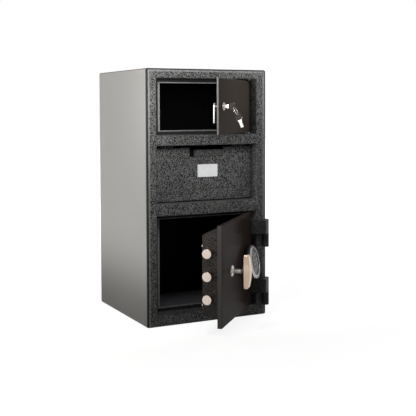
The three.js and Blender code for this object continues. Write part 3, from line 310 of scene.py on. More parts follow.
def plated(name, colour, roughness, stretch=(60.0, 60.0, 1400.0)):
    """Plated steel with a fine drawn grain and darker, rougher blushes. stretch is the count of grains
    to the metre along each of the vault door's directions."""
    finish = Finish(name)
    grain = finish.noise(1.0, 4.0, 0.6, finish.along_door(stretch))
    blush = finish.noise(85.0, 3.0)
    return finish.surface(
        Base_Color=finish.blend(blush, shade(colour, 0.86), shade(colour, 1.06)),
        Metallic=1.0,
        Roughness=roughness + (grain - 0.5) * 0.16 + (blush - 0.5) * 0.1,
        Normal=finish.bump(grain, 0.00003),
    )


def capped_key(name, metal, cap, centre):
    """Plated key whose bow, where |place - centre| < 10 mm, is moulded over in dark plastic."""
    finish = Finish(name)
    offset = finish.vector("SUBTRACT", finish.place, centre)
    bare = (finish.vector("LENGTH", offset, out="Value") - 10.0 * MM).above(0.0)
    grain = finish.noise(500.0, 3.0)
    return finish.surface(
        Base_Color=finish.blend(bare, shade(cap, 1.0), shade(metal, 1.0)),
        Metallic=bare,
        Roughness=0.45 - bare * 0.2 + (grain - 0.5) * 0.12,
        Specular_IOR_Level=0.1,
        Normal=finish.bump(grain, 0.00004),
    )


def lathed(name, colour, roughness, centre, axis):
    """Turned metal: rings of tool marks round the axis through centre."""
    finish = Finish(name)
    offset = finish.vector("SUBTRACT", finish.place, centre)
    across = finish.vector("CROSS_PRODUCT", offset, axis)
    radius = finish.vector("LENGTH", across, out="Value")
    rings = (radius * 9000.0 + finish.noise(160.0) * 3.0).math("SINE") * 0.5 + 0.5
    blush = finish.noise(120.0, 3.0)
    return finish.surface(
        Base_Color=finish.blend(blush, shade(colour, 0.9), shade(colour, 1.05)),
        Metallic=1.0,
        Roughness=roughness + rings * 0.08 + (blush - 0.5) * 0.1,
        Normal=finish.bump(rings, 0.000012),
    )


def moulded(name, colour, roughness):
    """Moulded plastic with a fine spark-eroded grain and a little handling shine."""
    finish = Finish(name)
    pits = finish.noise(1500.0, 2.0)
    worn = finish.noise(40.0, 3.0)
    return finish.surface(
        Base_Color=finish.blend(worn, shade(colour, 0.9), shade(colour, 1.1)),
        Roughness=roughness + (worn - 0.5) * 0.15,
        Normal=finish.bump(pits, 0.00004),
    )


def felt(name, colour):
    """Needle felt: matted fibres, with lint caught in it."""
    finish = Finish(name)
    fibres = finish.noise(900.0, 4.0, 0.7)
    tufts = finish.noise(120.0, 3.0)
    lint = finish.ramp(finish.cells(70.0), (0.0, 1.0), (0.07, 0.0))
    toned = finish.blend(fibres * 0.6 + tufts * 0.4, shade(colour, 0.55), shade(colour, 1.5))
    return finish.surface(
        Base_Color=finish.blend(lint * 0.35, toned, shade(colour, 5.0)),
        Roughness=0.95,
        Sheen_Weight=0.25,
        Normal=finish.bump(fibres * 0.5 + tufts * 0.5, 0.0009),
    )


def node_points(node):
    """A CAD node's points in rows, in metres."""
    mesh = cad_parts[node].data
    flat = np.empty(3 * len(mesh.vertices))
    mesh.vertices.foreach_get("co", flat)
    return flat.reshape(-1, 3)


def extent(node, face=np.eye(3)):
    """Lowest and highest coordinate of a CAD node along each of a face's three directions, or along
    the safe's own x, y and z."""
    along = node_points(node) @ face.T
    return along.min(axis=0), along.max(axis=0)


def seat(node, face, out=0.0):
    """The middle of a node's foot, seen straight on to a face, raised by out millimetres."""
    low, high = extent(node, face)
    across, _, up = (low + high) / 2
    return np.array([across, low[1] + out * MM, up]) @ face


def unit(vector):
    """The direction of a vector."""
    return vector / np.linalg.norm(vector)


def axes_matrix(right, up, out, place):
    """The matrix that stands an object at place with its X, Y and Z along right, up and out."""
    matrix = np.eye(4)
    matrix[:3] = np.stack((right, up, out, place), axis=1)
    return Matrix(matrix.tolist())


def placed(name, data):
    """A new object with that data, in the scene."""
    obj = bpy.data.objects.new(name, data)
    bpy.context.scene.collection.objects.link(obj)
    return obj


def finish_piece(obj, name, body, material, replaces=()):
    """Gives a new piece its name, its material, the body that it rides on and the CAD nodes
    that it replaces."""
    obj.name = name
    obj.data.name = name
    obj.data.materials.clear()
    obj.data.materials.append(material)
    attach(obj, body)
    if replaces:
        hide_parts(*replaces)


def mesh_object(name, points, faces):
    """An object whose mesh has those points and four-sided faces, with doubles at its poles merged."""
    mesh = bpy.data.meshes.new(name)
    mesh.from_pydata(points.reshape(-1, 3).tolist(), [], faces.tolist())
    shell = bmesh.new()
    shell.from_mesh(mesh)
    bmesh.ops.remove_doubles(shell, verts=shell.verts, dist=1e-7)
    shell.to_mesh(mesh)
    shell.free()
    mesh.polygons.foreach_set("use_smooth", np.ones(len(mesh.polygons), bool))
    return placed(name, mesh)


def grid_faces(rows, columns, loop_rows=False):
    """Faces between neighbouring points of a grid whose rows are closed rings. The last row joins the
    first if the rows loop too."""
    last = rows if loop_rows else rows - 1
    row, column = np.meshgrid(np.arange(last), np.arange(columns), indexing="ij")
    here, below = row * columns, (row + 1) % rows * columns
    beside = (column + 1) % columns
    corners = (here + column, here + beside, below + beside, below + column)
    return np.stack(corners, axis=-1).reshape(-1, 4)


def eased(corners, ease, closed=False):
    """Rounds an outline's corners. Each becomes (1-u)^2 A + 2u(1-u) C + u^2 B in four steps, where C
    is the corner and A and B lie ease away on its two edges, or 0.45 of the shorter edge where that is
    less. Open ends are kept."""
    corner = np.asarray(corners, float)
    before, after = np.roll(corner, 1, axis=0), np.roll(corner, -1, axis=0)
    back, ahead = before - corner, after - corner
    back_length = np.linalg.norm(back, axis=1, keepdims=True)
    ahead_length = np.linalg.norm(ahead, axis=1, keepdims=True)
    reach = np.minimum(ease, 0.45 * np.minimum(back_length, ahead_length))
    start = corner + back / back_length * reach
    end = corner + ahead / ahead_length * reach
    u = np.linspace(0.0, 1.0, 5)[None, :, None]
    curve = (1 - u) ** 2 * start[:, None] + 2 * u * (1 - u) * corner[:, None] + u**2 * end[:, None]
    if closed:
        return curve.reshape(-1, 2)
    return np.concatenate((corner[:1], curve[1:-1].reshape(-1, 2), corner[-1:]))


def turned(name, profile, centre, axis, steps=96, loop=False):
    """A profile of (radius, height) points turned about an axis: centre + axis*h + r*(side*cos a +
    lift*sin a). It runs from the low pole out, up and in, so that faces point outwards."""
    side = unit(np.cross(UPWARD, axis))
    lift = np.cross(axis, side)
    angle = np.linspace(0.0, 2 * math.pi, steps, endpoint=False)
    round_it = np.cos(angle)[:, None] * side + np.sin(angle)[:, None] * lift
    radius, height = profile[:, 0] * MM, profile[:, 1] * MM
    points = centre + height[:, None, None] * axis + radius[:, None, None] * round_it[None]
    return mesh_object(name, points, grid_faces(len(profile), steps, loop))


def plaque(name, outline, thickness, ease, centre, right, out):
    """A flat plate: its outline runs up the side, over an eased rim and in to the middle of its face.
    Row k is the outline drawn in by inset k, at height k along out."""
    profile = eased([(0, 0), (0, thickness), (1, thickness)], ease)[:-1]
    inset, height = profile[:, 0], profile[:, 1]
    ahead = np.roll(outline, -1, axis=0) - np.roll(outline, 1, axis=0)
    inward = np.stack((-ahead[:, 1], ahead[:, 0]), axis=1)
    inward = inward / np.linalg.norm(inward, axis=1, keepdims=True)
    rings = outline[None] + inset[:, None, None] * inward[None]
    hub = np.zeros((1, len(outline), 2))
    flat = np.concatenate((hub, rings, hub))
    heights = np.concatenate(([0.0], height, [thickness]))
    up = np.cross(out, right)
    across, along = flat[..., 0, None] * MM * right, flat[..., 1, None] * MM * up
    points = centre + across + along + heights[:, None, None] * MM * out
    return mesh_object(name, points, grid_faces(len(heights), len(outline)))


def rounded_outline(width, height, radius):
    """A rectangle with rounded corners, run round anticlockwise from its lower right."""
    half = np.array([width, height]) / 2 - radius
    signs = np.array([[1, -1], [1, 1], [-1, 1], [-1, -1]])
    starts = np.radians([-90, 0, 90, 180])
    angle = starts[:, None] + np.linspace(0.0, math.pi / 2, 7)[None]
    arcs = (signs * half)[:, None] + radius * np.stack((np.cos(angle), np.sin(angle)), axis=-1)
    return arcs.reshape(-1, 2)


def shaded_copy(node, ease, sharp):
    """A CAD node's own shape with its doubles merged, its flat faces made whole, its edges over sharp
    degrees eased by ease millimetres, and its curves shaded smooth."""
    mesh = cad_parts[node].data.copy()
    shell = bmesh.new()
    shell.from_mesh(mesh)
    bmesh.ops.remove_doubles(shell, verts=shell.verts, dist=2e-6)
    flat = math.radians(0.4)
    bmesh.ops.dissolve_limit(shell, angle_limit=flat, verts=shell.verts, edges=shell.edges)
    limit = math.radians(sharp)
    if ease:
        edges = [edge for edge in shell.edges if edge.calc_face_angle(0.0) > limit]
        bmesh.ops.bevel(
            shell, geom=edges, offset=ease * MM, segments=2, profile=0.5, affect="EDGES",
            clamp_overlap=True,
        )
    # A bevel's own edges turn by up to 45 degrees and are shaded smooth with it
    crease = math.radians(50.0) if ease else limit
    for edge in shell.edges:
        edge.smooth = edge.calc_face_angle(math.pi) < crease
    shell.to_mesh(mesh)
    shell.free()
    mesh.polygons.foreach_set("use_smooth", np.ones(len(mesh.polygons), bool))
    obj = placed(node, mesh)
    weight = obj.modifiers.new("flat faces stay flat", "WEIGHTED_NORMAL")
    weight.keep_sharp = True
    return obj


def dress(node, name, body, material, ease=0.0, sharp=35.0):
    """Puts a shaded copy of a CAD node in its place."""
    finish_piece(shaded_copy(node, ease, sharp), name, body, material, [node])


def coat_node(node, material):
    """Gives a CAD node that keeps its own mesh its material."""
    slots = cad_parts[node].material_slots
    if not slots:
        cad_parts[node].data.materials.append(material)
        return
    for slot in slots:
        slot.link = "OBJECT"
        slot.material = material


class SafeCoats(bpy.types.PropertyGroup):
    """Colours of the coats."""

    furrows: FloatVectorProperty(
        name="Wrinkle furrows",
        description="Low parts of the wrinkle coat on the frame and drawer",
        subtype="COLOR",
        default=(0.006, 0.006, 0.006),
    )
    # The crowns' paler colour is partly the coat's own speckle and partly painted glints
    crowns: FloatVectorProperty(
        name="Wrinkle crowns",
        description="Crowns of the wrinkle coat on the frame and drawer",
        subtype="COLOR",
        default=(0.240, 0.240, 0.236),
    )
    # The sheet coat's pale grey is partly the sides' own paint and partly painted sheen
    sheet: FloatVectorProperty(
        name="Sheet coat",
        description="Fine coat on the cabinet's sides, top and back",
        subtype="COLOR",
        default=(0.330, 0.320, 0.304),
    )
    vault: FloatVectorProperty(
        name="Vault door coat",
        description="Smooth coat of the vault door",
        subtype="COLOR",
        default=(0.050, 0.036, 0.030),
    )
    locker: FloatVectorProperty(
        name="Locker door coat",
        description="Smooth coat of the locker door",
        subtype="COLOR",
        default=(0.050, 0.040, 0.033),
    )
    mat: FloatVectorProperty(
        name="Mats", description="Felt of both mats", subtype="COLOR", default=(0.040, 0.038, 0.055)
    )


class SafeFittings(bpy.types.PropertyGroup):
    """Sizes of the fittings that the visual model adds."""

    plate_width: FloatProperty(
        name="Plate width",
        description="Width of the bare plate on the drawer",
        default=0.0615,
        unit="LENGTH",
    )
    plate_height: FloatProperty(
        name="Plate height",
        description="Height of the bare plate on the drawer",
        default=0.035,
        unit="LENGTH",
    )
    screw_radius: FloatProperty(
        name="Screw head radius",
        description="Radius of the screw heads on the bolt box's cover",
        default=0.004,
        unit="LENGTH",
    )
    digit_height: FloatProperty(
        name="Digit height",
        description="Height of the keypad's digits",
        default=0.0056,
        unit="LENGTH",
    )


class SafeStudio(bpy.types.PropertyGroup):
    """Light levels of the studio."""

    side_power: FloatProperty(
        name="Side panel", description="Light from the left side", default=1.9, unit="POWER"
    )
    key_power: FloatProperty(
        name="Key light", description="Light from above the front left", default=1.3, unit="POWER"
    )
    ambient: FloatProperty(
        name="Room light",
        description="Light from the room all round",
        subtype="FACTOR",
        default=0.2,
        min=0.0,
    )
    floor_lift: FloatProperty(
        name="Floor lift",
        description="How far the floor is whitened where it is seen",
        subtype="FACTOR",
        default=0.84,
        min=0.0,
    )


class SAFE_OT_coat_cabinet(bpy.types.Operator):
    """Coats the cabinet, its frame, its inside and the deposit drawer."""

    bl_idname = "safe.coat_cabinet"
    bl_label = "Coat the Cabinet"

    # The wrinkle coat's grains to the metre, their height in metres, and its gloss
    WRINKLE = (497.0, 0.0009, 0.12)
    # The rim's painted highlight begins so far in from the cabinet's sides and top, in millimetres
    RIM_SIDE, RIM_TOP = 11.0, 9.5
    # Depths behind the drawer's face and the cup's front, and a height over the cup's foot, from which
    #     they get painted shade, in millimetres
    NOTCH_DEPTH, CUP_DEPTH, CUP_FOOT = 0.8, 5.4, 3.2
    # The hole in each stop frame, by its low and high corners in x and z, in metres
    HOLES = {
        "locker_stop_frame": ((-0.132, 0.526), (0.1329, 0.654)),
        "vault_stop_frame": ((-0.132, 0.0435), (0.140, 0.2845)),
    }

    def execute(self, context):
        chosen = context.scene.safe_coats
        colours = (chosen.furrows, chosen.crowns)
        high = extent("body_shell")[1]
        rim = (rim_highlight, (high[0] - self.RIM_SIDE * MM, high[2] - self.RIM_TOP * MM))
        rim_coat = powder_coat("rim_coat", colours, *self.WRINKLE, rim)
        skin = tuple(high - MM)
        # Inside the shell and the back panel the coat is near-black painted shade
        side_coat = sheet_coat("sheet_coat", chosen.sheet, shade(chosen.furrows, 0.5), skin)
        # The inside's parts get a very dark copy of the wrinkle coat: painted shade
        painted_shade_tones = (shade(chosen.furrows, 0.3)[:3], shade(chosen.crowns, 0.12)[:3])
        inner_shaded_coat = powder_coat("inner_shaded_coat", painted_shade_tones, 500.0, 0.0004, 0.05)
        felt_mat = felt("mat_felt", chosen.mat)
        zinc = plated("zinc_plate", ZINC, 0.34)
        # Painted shade on the notch's walls behind the drawer's face
        notch = (shaded_hollow, extent("drawer_front")[0][1] + self.NOTCH_DEPTH * MM, 0.0)
        panel_coat = powder_coat("panel_coat", colours, *self.WRINKLE, notch)
        # Painted shade in the cup's deep slot and under its foot
        low = extent("drawer_pull_cup")[0]
        hollow = (shaded_hollow, low[1] + self.CUP_DEPTH * MM, low[2] + self.CUP_FOOT * MM)
        cup_coat = powder_coat("cup_coat", colours, *self.WRINKLE, hollow)
        for node, name, body, coat, ease in (
            ("body_shell", "sheet_shell", "safe_body", side_coat, 0.0),
            ("front_frame", "frame_skin", "safe_body", rim_coat, 1.2),
            ("drawer_front", "drawer_panel", "deposit_drawer", panel_coat, 0.4),
            ("drawer_pull_cup", "finger_cup", "deposit_drawer", cup_coat, 0.6),
        ):
            dress(node, name, body, coat, ease)
        # Each stop frame is painted dark as shadow, with a pale painted highlight on the lip round its
        # hole
        for node, hole in self.HOLES.items():
            lip = (lip_highlight_and_shadow, *hole)
            coat_node(node, powder_coat(f"{node}_coat", colours, *self.WRINKLE, lip))
        for node in (
            "locker_shelf", "chute_side_left", "chute_side_right", "drawer_cheek_left",
            "drawer_cheek_right", "drawer_scoop", "antifish_baffle",
        ):
            coat_node(node, inner_shaded_coat)
        coat_node("back_panel", side_coat)
        for node in ("locker_mat", "vault_mat"):
            coat_node(node, felt_mat)
        for node in ("drawer_pin_left", "drawer_pin_right", "locker_pin_bottom", "locker_pin_top"):
            coat_node(node, zinc)
        return {"FINISHED"}


class SAFE_OT_coat_doors(bpy.types.Operator):
    """Coats both doors, the hinges and the box behind the vault door."""

    bl_idname = "safe.coat_doors"
    bl_label = "Coat the Doors"

    # How far in from its free side a door gets its pale painted highlight, in millimetres, and the
    # box's crowns
    EDGE_DEPTH = 0.3
    BOX_CROWNS = (0.150, 0.136, 0.124)

    def execute(self, context):
        chosen = context.scene.safe_coats
        # pale is the colour of the painted highlight on each door's free edge
        for name, face, colour, roughness, gloss, pale in (
            ("vault", VAULT, chosen.vault, 0.24, 0.005, (0.190, 0.178, 0.168, 1.0)),
            ("locker", LOCKER, chosen.locker, 0.38, 0.012, (0.170, 0.165, 0.155, 1.0)),
        ):
            reach = extent(f"{name}_door", face)[1][0] - self.EDGE_DEPTH * MM
            coat = smooth_coat(f"{name}_coat", colour, roughness, gloss, face[0], reach, pale)
            dress(f"{name}_door", f"{name}_plate", f"{name}_door_leaf", coat, 0.4)
        hinges = (chosen.furrows, shade(chosen.crowns, 0.3)[:3])
        hinge_coat = powder_coat("hinge_coat", hinges, 600.0, 0.0003, 0.1)
        box_coat = powder_coat("box_coat", (chosen.furrows, self.BOX_CROWNS), 500.0, 0.0003, 0.1)
        dark_steel = plated("dark_steel", (0.12, 0.12, 0.12), 0.4)
        leaf = "vault_door_leaf"
        dress("bolt_box", "box_walls", leaf, box_coat, 0.8)
        dress("bolt_box_cover", "box_cover", leaf, box_coat, 0.8)
        for end in ("lower", "upper"):
            ear, barrel = f"hinge_ear_{end}", f"hinge_barrel_{end}"
            dress(ear, f"ear_{end}", leaf, hinge_coat, 0.7)
            dress(barrel, f"knuckle_{end}", "safe_body", hinge_coat, 0.5)
            coat_node(f"hinge_pin_{end}", dark_steel)
        coat_node("lock_case", dark_steel)
        return {"FINISHED"}


class SAFE_OT_fit_bolts(bpy.types.Operator):
    """Puts smooth turned bolts in place of the CAD's, and plates the work that drives them."""

    bl_idname = "safe.fit_bolts"
    bl_label = "Fit the Bolts"

    # In millimetres: the thin end that sits in the bar, and the bolt itself
    TENON_RADIUS, TENON_LENGTH = 6.0, 6.0
    RADIUS, CHAMFER = 12.5, 0.9

    def execute(self, context):
        across = VAULT[0]
        for place in ("bottom", "middle", "top"):
            node = f"bolt_{place}"
            low, high = extent(node, VAULT)
            tail = np.array([low[0], *((low + high) / 2)[1:]]) @ VAULT
            tip = (high[0] - low[0]) / MM
            profile = eased(
                (
                    (0, 0), (self.TENON_RADIUS, 0), (self.TENON_RADIUS, self.TENON_LENGTH),
                    (self.RADIUS, self.TENON_LENGTH), (self.RADIUS, tip - self.CHAMFER),
                    (self.RADIUS - self.CHAMFER, tip), (0, tip),
                ),
                self.CHAMFER,
            )
            nickel = lathed(f"nickel_{place}", (0.64, 0.54, 0.47), 0.24, tail, across)
            piece = turned(f"round_bolt_{place}", profile, tail, across)
            finish_piece(piece, piece.name, "bolt_work", nickel, [node])
        zinc = plated("work_zinc", ZINC, 0.34)
        for node in ("bolt_bar", "bolt_crank", "lock_plunger"):
            coat_node(node, zinc)
        return {"FINISHED"}


class SAFE_OT_fit_handle(bpy.types.Operator):
    """Puts a smooth crowned T-handle and its rosette on the vault door."""

    bl_idname = "safe.fit_handle"
    bl_label = "Fit the T-Handle"

    # In millimetres. The grip's rear is REAR off the door, and the shaft runs SHAFT_TAIL in behind the
    # door's face before its thinner end
    HALF_LENGTH, HALF_WIDTH, TIP_SHARE = 45.0, 12.5, 0.62
    REAR, THICKNESS, CROWN = 31.0, 19.5, 6.0
    SQUARENESS = 8.0
    SHAFT_RADIUS, SHAFT_TAIL = 5.8, 20.4
    END_RADIUS, END_LENGTH = 4.0, 7.0
    ROSE_RADIUS, ROSE_HEIGHT = 14.5, 3.0

    def bar(self, centre):
        """The grip: superelliptic sections |x/a|^n + |y/b|^n = 1 stacked up the handle, with its rear
        straight. At height t from -1 to 1, half width a falls to the tip share by t^2, thickness 2b by
        the crown times t^2, and both close with (1 - t^24)^0.5."""
        sweep = np.linspace(-math.pi / 2, math.pi / 2, 81)
        height = np.sin(sweep)[:, None]
        close = np.sqrt(np.clip(1.0 - height**24, 0.0, 1.0))
        half_width = self.HALF_WIDTH * (1.0 - (1.0 - self.TIP_SHARE) * height**2) * close
        half_depth = (self.THICKNESS - self.CROWN * height**2) / 2
        angle = np.linspace(0.0, 2 * math.pi, 96, endpoint=False)[None]
        power = 2.0 / self.SQUARENESS
        across = half_width * np.sign(np.cos(angle)) * np.abs(np.cos(angle)) ** power
        deep = half_depth * close * np.sign(np.sin(angle)) * np.abs(np.sin(angle)) ** power
        out = self.REAR + half_depth + deep
        up = np.broadcast_to(self.HALF_LENGTH * height, across.shape)
        points = centre + np.stack((across, out, up), axis=-1) * MM @ VAULT
        return mesh_object("t_bar", points, grid_faces(*points.shape[:2]))

    def execute(self, context):
        out = VAULT[1]
        base = seat("handle_rosette", VAULT, -SUNK)
        chrome = plated("handle_plate", (0.49, 0.37, 0.28), 0.13, (400.0, 400.0, 400.0))
        grip = self.bar(base)
        finish_piece(grip, "t_bar", "handle", chrome, ["t_handle"])
        radius, tail, neck = self.SHAFT_RADIUS, -self.SHAFT_TAIL, self.REAR - 6.0
        end, foot = self.END_RADIUS, tail - self.END_LENGTH
        shaft_outline = (
            (0, foot), (end, foot), (end, tail), (radius, tail), (radius, neck),
            (radius + 0.8, neck + 3.0), (radius + 1.8, self.REAR + 1.0), (0, self.REAR + 1.0),
        )
        shaft = turned("handle_shaft", eased(shaft_outline, 1.2), base, out)
        pale = plated("shaft_plate", (0.82, 0.76, 0.70), 0.36)
        finish_piece(shaft, "handle_shaft", "handle", pale)
        bore, rim, high = radius + 0.3, self.ROSE_RADIUS, self.ROSE_HEIGHT
        rose_outline = (
            (bore, SUNK), (rim, SUNK), (rim, 1.2), (rim - 2.2, high - 0.3), (bore + 1.4, high),
            (bore, high - 0.4),
        )
        rose = turned("rose", eased(rose_outline, 0.5, True), base, out, loop=True)
        steel = lathed("rose_steel", (0.52, 0.50, 0.48), 0.3, base, out)
        finish_piece(rose, "rose", "vault_door_leaf", steel, ["handle_rosette"])
        return {"FINISHED"}


class SAFE_OT_fit_keypad(bpy.types.Operator):
    """Builds the round keypad: leaning housing, bezel with its inlaid rings, face, keys and digits."""

    bl_idname = "safe.fit_keypad"
    bl_label = "Fit the Keypad"

    # In millimetres: the wall's radius, how far it ends below the face, and its rim's turned profile
    RADIUS, RIM_DROP = 46.0, 1.6
    RIM = (
        (0, -5), (45.3, -5), (45.5, -3.4), (45.5, -0.9), (44.6, 0), (30.5, 0), (30.5, -6), (0, -6),
    )
    # Rows of points so close to the wall's upper edge keep it crisp: shares of its height and radius
    EDGE_BELOW, EDGE_INSIDE = 0.02, 0.03
    # A digit's height as a share of its text size, and in metres its thickness and the gap under it
    CAP_SHARE, INK_DEPTH, INK_GAP = 0.7, 0.00006, 0.00002
    # Each inlaid ring: inner and outer radius, and the crown's height over the leaning face
    RINGS = {
        "ring_outer": (43.9, 45.2, 3.1),
        "ring_red": (40.6, 43.8, 3.5),
        "ring_inner": (38.5, 40.5, 3.9),
        "ring_black": (33.0, 38.4, 3.4),
    }

    def wall(self, centre, hub):
        """The housing's wall: a cylinder square to the door that is cut off by the leaning face. From
        its foot f at each angle it rises by h with (f + h*out - hub).n = -drop, for the face's own
        outward direction n."""
        angle = np.linspace(0.0, 2 * math.pi, 128, endpoint=False)[:, None]
        around = self.RADIUS * MM * (np.cos(angle) * VAULT[0] + np.sin(angle) * VAULT[2])
        foot = centre + around
        lean = KEYPAD[1]
        height = (-self.RIM_DROP * MM - (foot - hub) @ lean) / (VAULT[1] @ lean)
        top = foot + height[:, None] * VAULT[1]
        under = np.broadcast_to(centre, foot.shape)
        over = np.broadcast_to(hub - lean * self.RIM_DROP * MM, foot.shape)
        below = top + (foot - top) * self.EDGE_BELOW
        inside = top + (over - top) * self.EDGE_INSIDE
        points = np.stack((under, foot, below, top, inside, over))
        return mesh_object("pad_wall", points, grid_faces(len(points), len(angle)))

    def digits(self, ink):
        """Each digit is a text made a mesh, turned to face outwards and laid on its key's crown."""
        for name in DIGIT_NAMES:
            curve = bpy.data.curves.new(f"text_{name}", "FONT")
            curve.body = name
            curve.align_x = curve.align_y = "CENTER"
            curve.size = bpy.context.scene.safe_fittings.digit_height / self.CAP_SHARE
            curve.extrude = self.INK_DEPTH
            text = placed(f"text_{name}", curve)
            bpy.context.view_layer.update()
            seen = text.evaluated_get(bpy.context.evaluated_depsgraph_get())
            mesh = bpy.data.meshes.new_from_object(seen)
            bpy.data.objects.remove(text)
            low, high = extent(f"key_{name}", KEYPAD)
            across, _, up = (low + high) / 2
            crown = np.array([across, high[1] + self.INK_GAP, up]) @ KEYPAD
            mesh.transform(axes_matrix(-KEYPAD[0], KEYPAD[2], KEYPAD[1], crown))
            digit = placed(f"digit_{name}", mesh)
            finish_piece(digit, f"digit_{name}", f"keypad_key_{name}", ink)

    def execute(self, context):
        leaf = "vault_door_leaf"
        hub = seat("keypad_face", KEYPAD, -SUNK)
        low, high = extent("keypad_housing", VAULT)
        centre = np.array([((low + high) / 2)[0], low[1], hub @ VAULT[2]]) @ VAULT
        black = moulded("keypad_black", (0.012, 0.012, 0.013), 0.42)
        wall = self.wall(centre, hub)
        finish_piece(wall, "pad_wall", leaf, black, ["keypad_housing"])
        rim = turned("pad_rim", eased(self.RIM, 0.5), hub, KEYPAD[1], 128)
        finish_piece(rim, "pad_rim", leaf, black)
        pale = plated("pad_pale", (0.62, 0.62, 0.64), 0.3)
        red = moulded("pad_red", (0.16, 0.012, 0.012), 0.35)
        for name, (inner, outer, crown) in self.RINGS.items():
            outline = ((inner, SUNK), (outer, SUNK), (outer, crown - 0.3), (inner, crown))
            band = turned(name, eased(outline, 0.35, True), hub, KEYPAD[1], 128, True)
            paint, slot = {
                "ring_red": (red, "black_plastic"),
                "ring_black": (black, "black_plastic"),
            }.get(name, (pale, "pale_metal"))
            replaced = ["keypad_bezel"] if name == "ring_black" else ()
            finish_piece(band, name, leaf, paint, replaced)
        field = moulded("pad_field", (0.09, 0.094, 0.098), 0.5)
        dress("keypad_face", "pad_face", leaf, field)
        white = moulded("key_white", (0.30, 0.31, 0.32), 0.4)
        for name in (*DIGIT_NAMES, "left", "right"):
            dress(f"key_{name}", f"keycap_{name}", f"keypad_key_{name}", white, 0.25)
        self.digits(moulded("digit_ink", (0.02, 0.02, 0.022), 0.5))
        return {"FINISHED"}


class SAFE_OT_fit_lock(bpy.types.Operator):
    """Fits the locker's cam lock with its key, split ring and spare key."""

    bl_idname = "safe.fit_lock"
    bl_label = "Fit the Locker Lock"

    # Radius and height from the barrel's rear end, in millimetres, round and back to the start
    BARREL = (
        (6.7, 0), (9.5, 0), (9.5, 8.8), (10.5, 8.8), (10.5, 10.6), (9.4, 11.8), (7.6, 12), (6.7, 11.6),
    )
    BOW_LENGTH = 17.0

    def bow(self, node, towards):
        """Middle of a key's bow, which is its end towards that direction."""
        points = node_points(node)
        along = points @ towards
        bow = points[along > along.max() - self.BOW_LENGTH * MM]
        return tuple((bow.min(axis=0) + bow.max(axis=0)) / 2)

    def execute(self, context):
        out = LOCKER[1]
        rear = seat("lock_barrel", LOCKER)
        chrome = lathed("lock_chrome", (0.38, 0.34, 0.31), 0.2, rear, out)
        barrel = turned("lock_flange", eased(self.BARREL, 0.5, True), rear, out, loop=True)
        finish_piece(barrel, "lock_flange", "locker_door_leaf", chrome, ["lock_barrel"])
        brass = lathed("plug_brass", (0.45, 0.39, 0.30), 0.3, rear, out)
        zinc = plated("cam_zinc", (0.72, 0.72, 0.70), 0.3)
        nickel, plastic = (0.74, 0.70, 0.66), (0.040, 0.034, 0.030)
        drawn = capped_key("key_in_lock", nickel, plastic, self.bow("lock_key", out))
        hung = capped_key("key_on_ring", nickel, plastic, self.bow("spare_key", UPWARD))
        ring_steel = plated("ring_steel", (0.80, 0.78, 0.75), 0.2, (500.0, 500.0, 500.0))
        dress("lock_plug", "plug", "cam_lock", brass, 0.2)
        dress("locker_cam", "cam", "cam_lock", zinc, 0.4)
        dress("lock_key", "key_in_lock", "cam_lock", drawn, 0.3)
        dress("key_ring", "split_ring", "ring", ring_steel, sharp=60.0)
        dress("spare_key", "key_on_ring", "hanging_key", hung, 0.3)
        return {"FINISHED"}


class SAFE_OT_fit_screws(bpy.types.Operator):
    """Puts domed socket screws on the bolt box's cover."""

    bl_idname = "safe.fit_screws"
    bl_label = "Fit the Screws"

    # How far in from the cover's sides, and how far from its middle as a share of its height
    EDGE_INSET, HEIGHT_SHARE = 7.0, 0.36

    def execute(self, context):
        radius = context.scene.safe_fittings.screw_radius / MM
        outline = (
            (0, -1.2), (0.6 * radius, -1.2), (0.6 * radius, 0), (radius, 0), (radius, 1.0),
            (0.8 * radius, 2.4), (0.42 * radius, 3.0), (0.4 * radius, 1.4), (0, 1.4),
        )
        profile = eased(outline, 0.4)
        bright = plated("screw_zinc", (0.78, 0.78, 0.76), 0.24, (600.0, 600.0, 600.0))
        low, high = extent("bolt_box_cover", VAULT)
        middle, reach = (low[2] + high[2]) / 2, (high[2] - low[2]) * self.HEIGHT_SHARE
        inset = self.EDGE_INSET * MM
        sides, levels = (high[0] - inset, low[0] + inset), (middle - reach, middle + reach)
        for number, (across, up) in enumerate(product(sides, levels), 1):
            spot = np.array([across, low[1], up]) @ VAULT
            screw = turned(f"cover_screw_{number}", profile, spot, -VAULT[1], 32)
            finish_piece(screw, screw.name, "vault_door_leaf", bright)
        return {"FINISHED"}


class SAFE_OT_fix_plate(bpy.types.Operator):
    """Fixes a bare silver plate to the deposit drawer's front."""

    bl_idname = "safe.fix_plate"
    bl_label = "Fix the Plate"

    # Place of the plate's middle in metres: right of the cabinet's middle, and above the floor
    RIGHT, HEIGHT = 0.011, 0.414
    # In millimetres
    CORNER, THICKNESS, EASE = 1.6, 1.0, 0.35

    def execute(self, context):
        sizes = context.scene.safe_fittings
        outline = rounded_outline(sizes.plate_width / MM, sizes.plate_height / MM, self.CORNER)
        face = extent("drawer_front", CABINET)[1][1]
        centre = np.array([-self.RIGHT, face, self.HEIGHT]) @ CABINET
        right, out = -CABINET[0], CABINET[1]
        plate = plaque("bare_plate", outline, self.THICKNESS, self.EASE, centre, right, out)
        silver = plated("plate_silver", (0.62, 0.63, 0.63), 0.42, (40.0, 400.0, 1800.0))
        finish_piece(plate, "bare_plate", "deposit_drawer", silver)
        return {"FINISHED"}


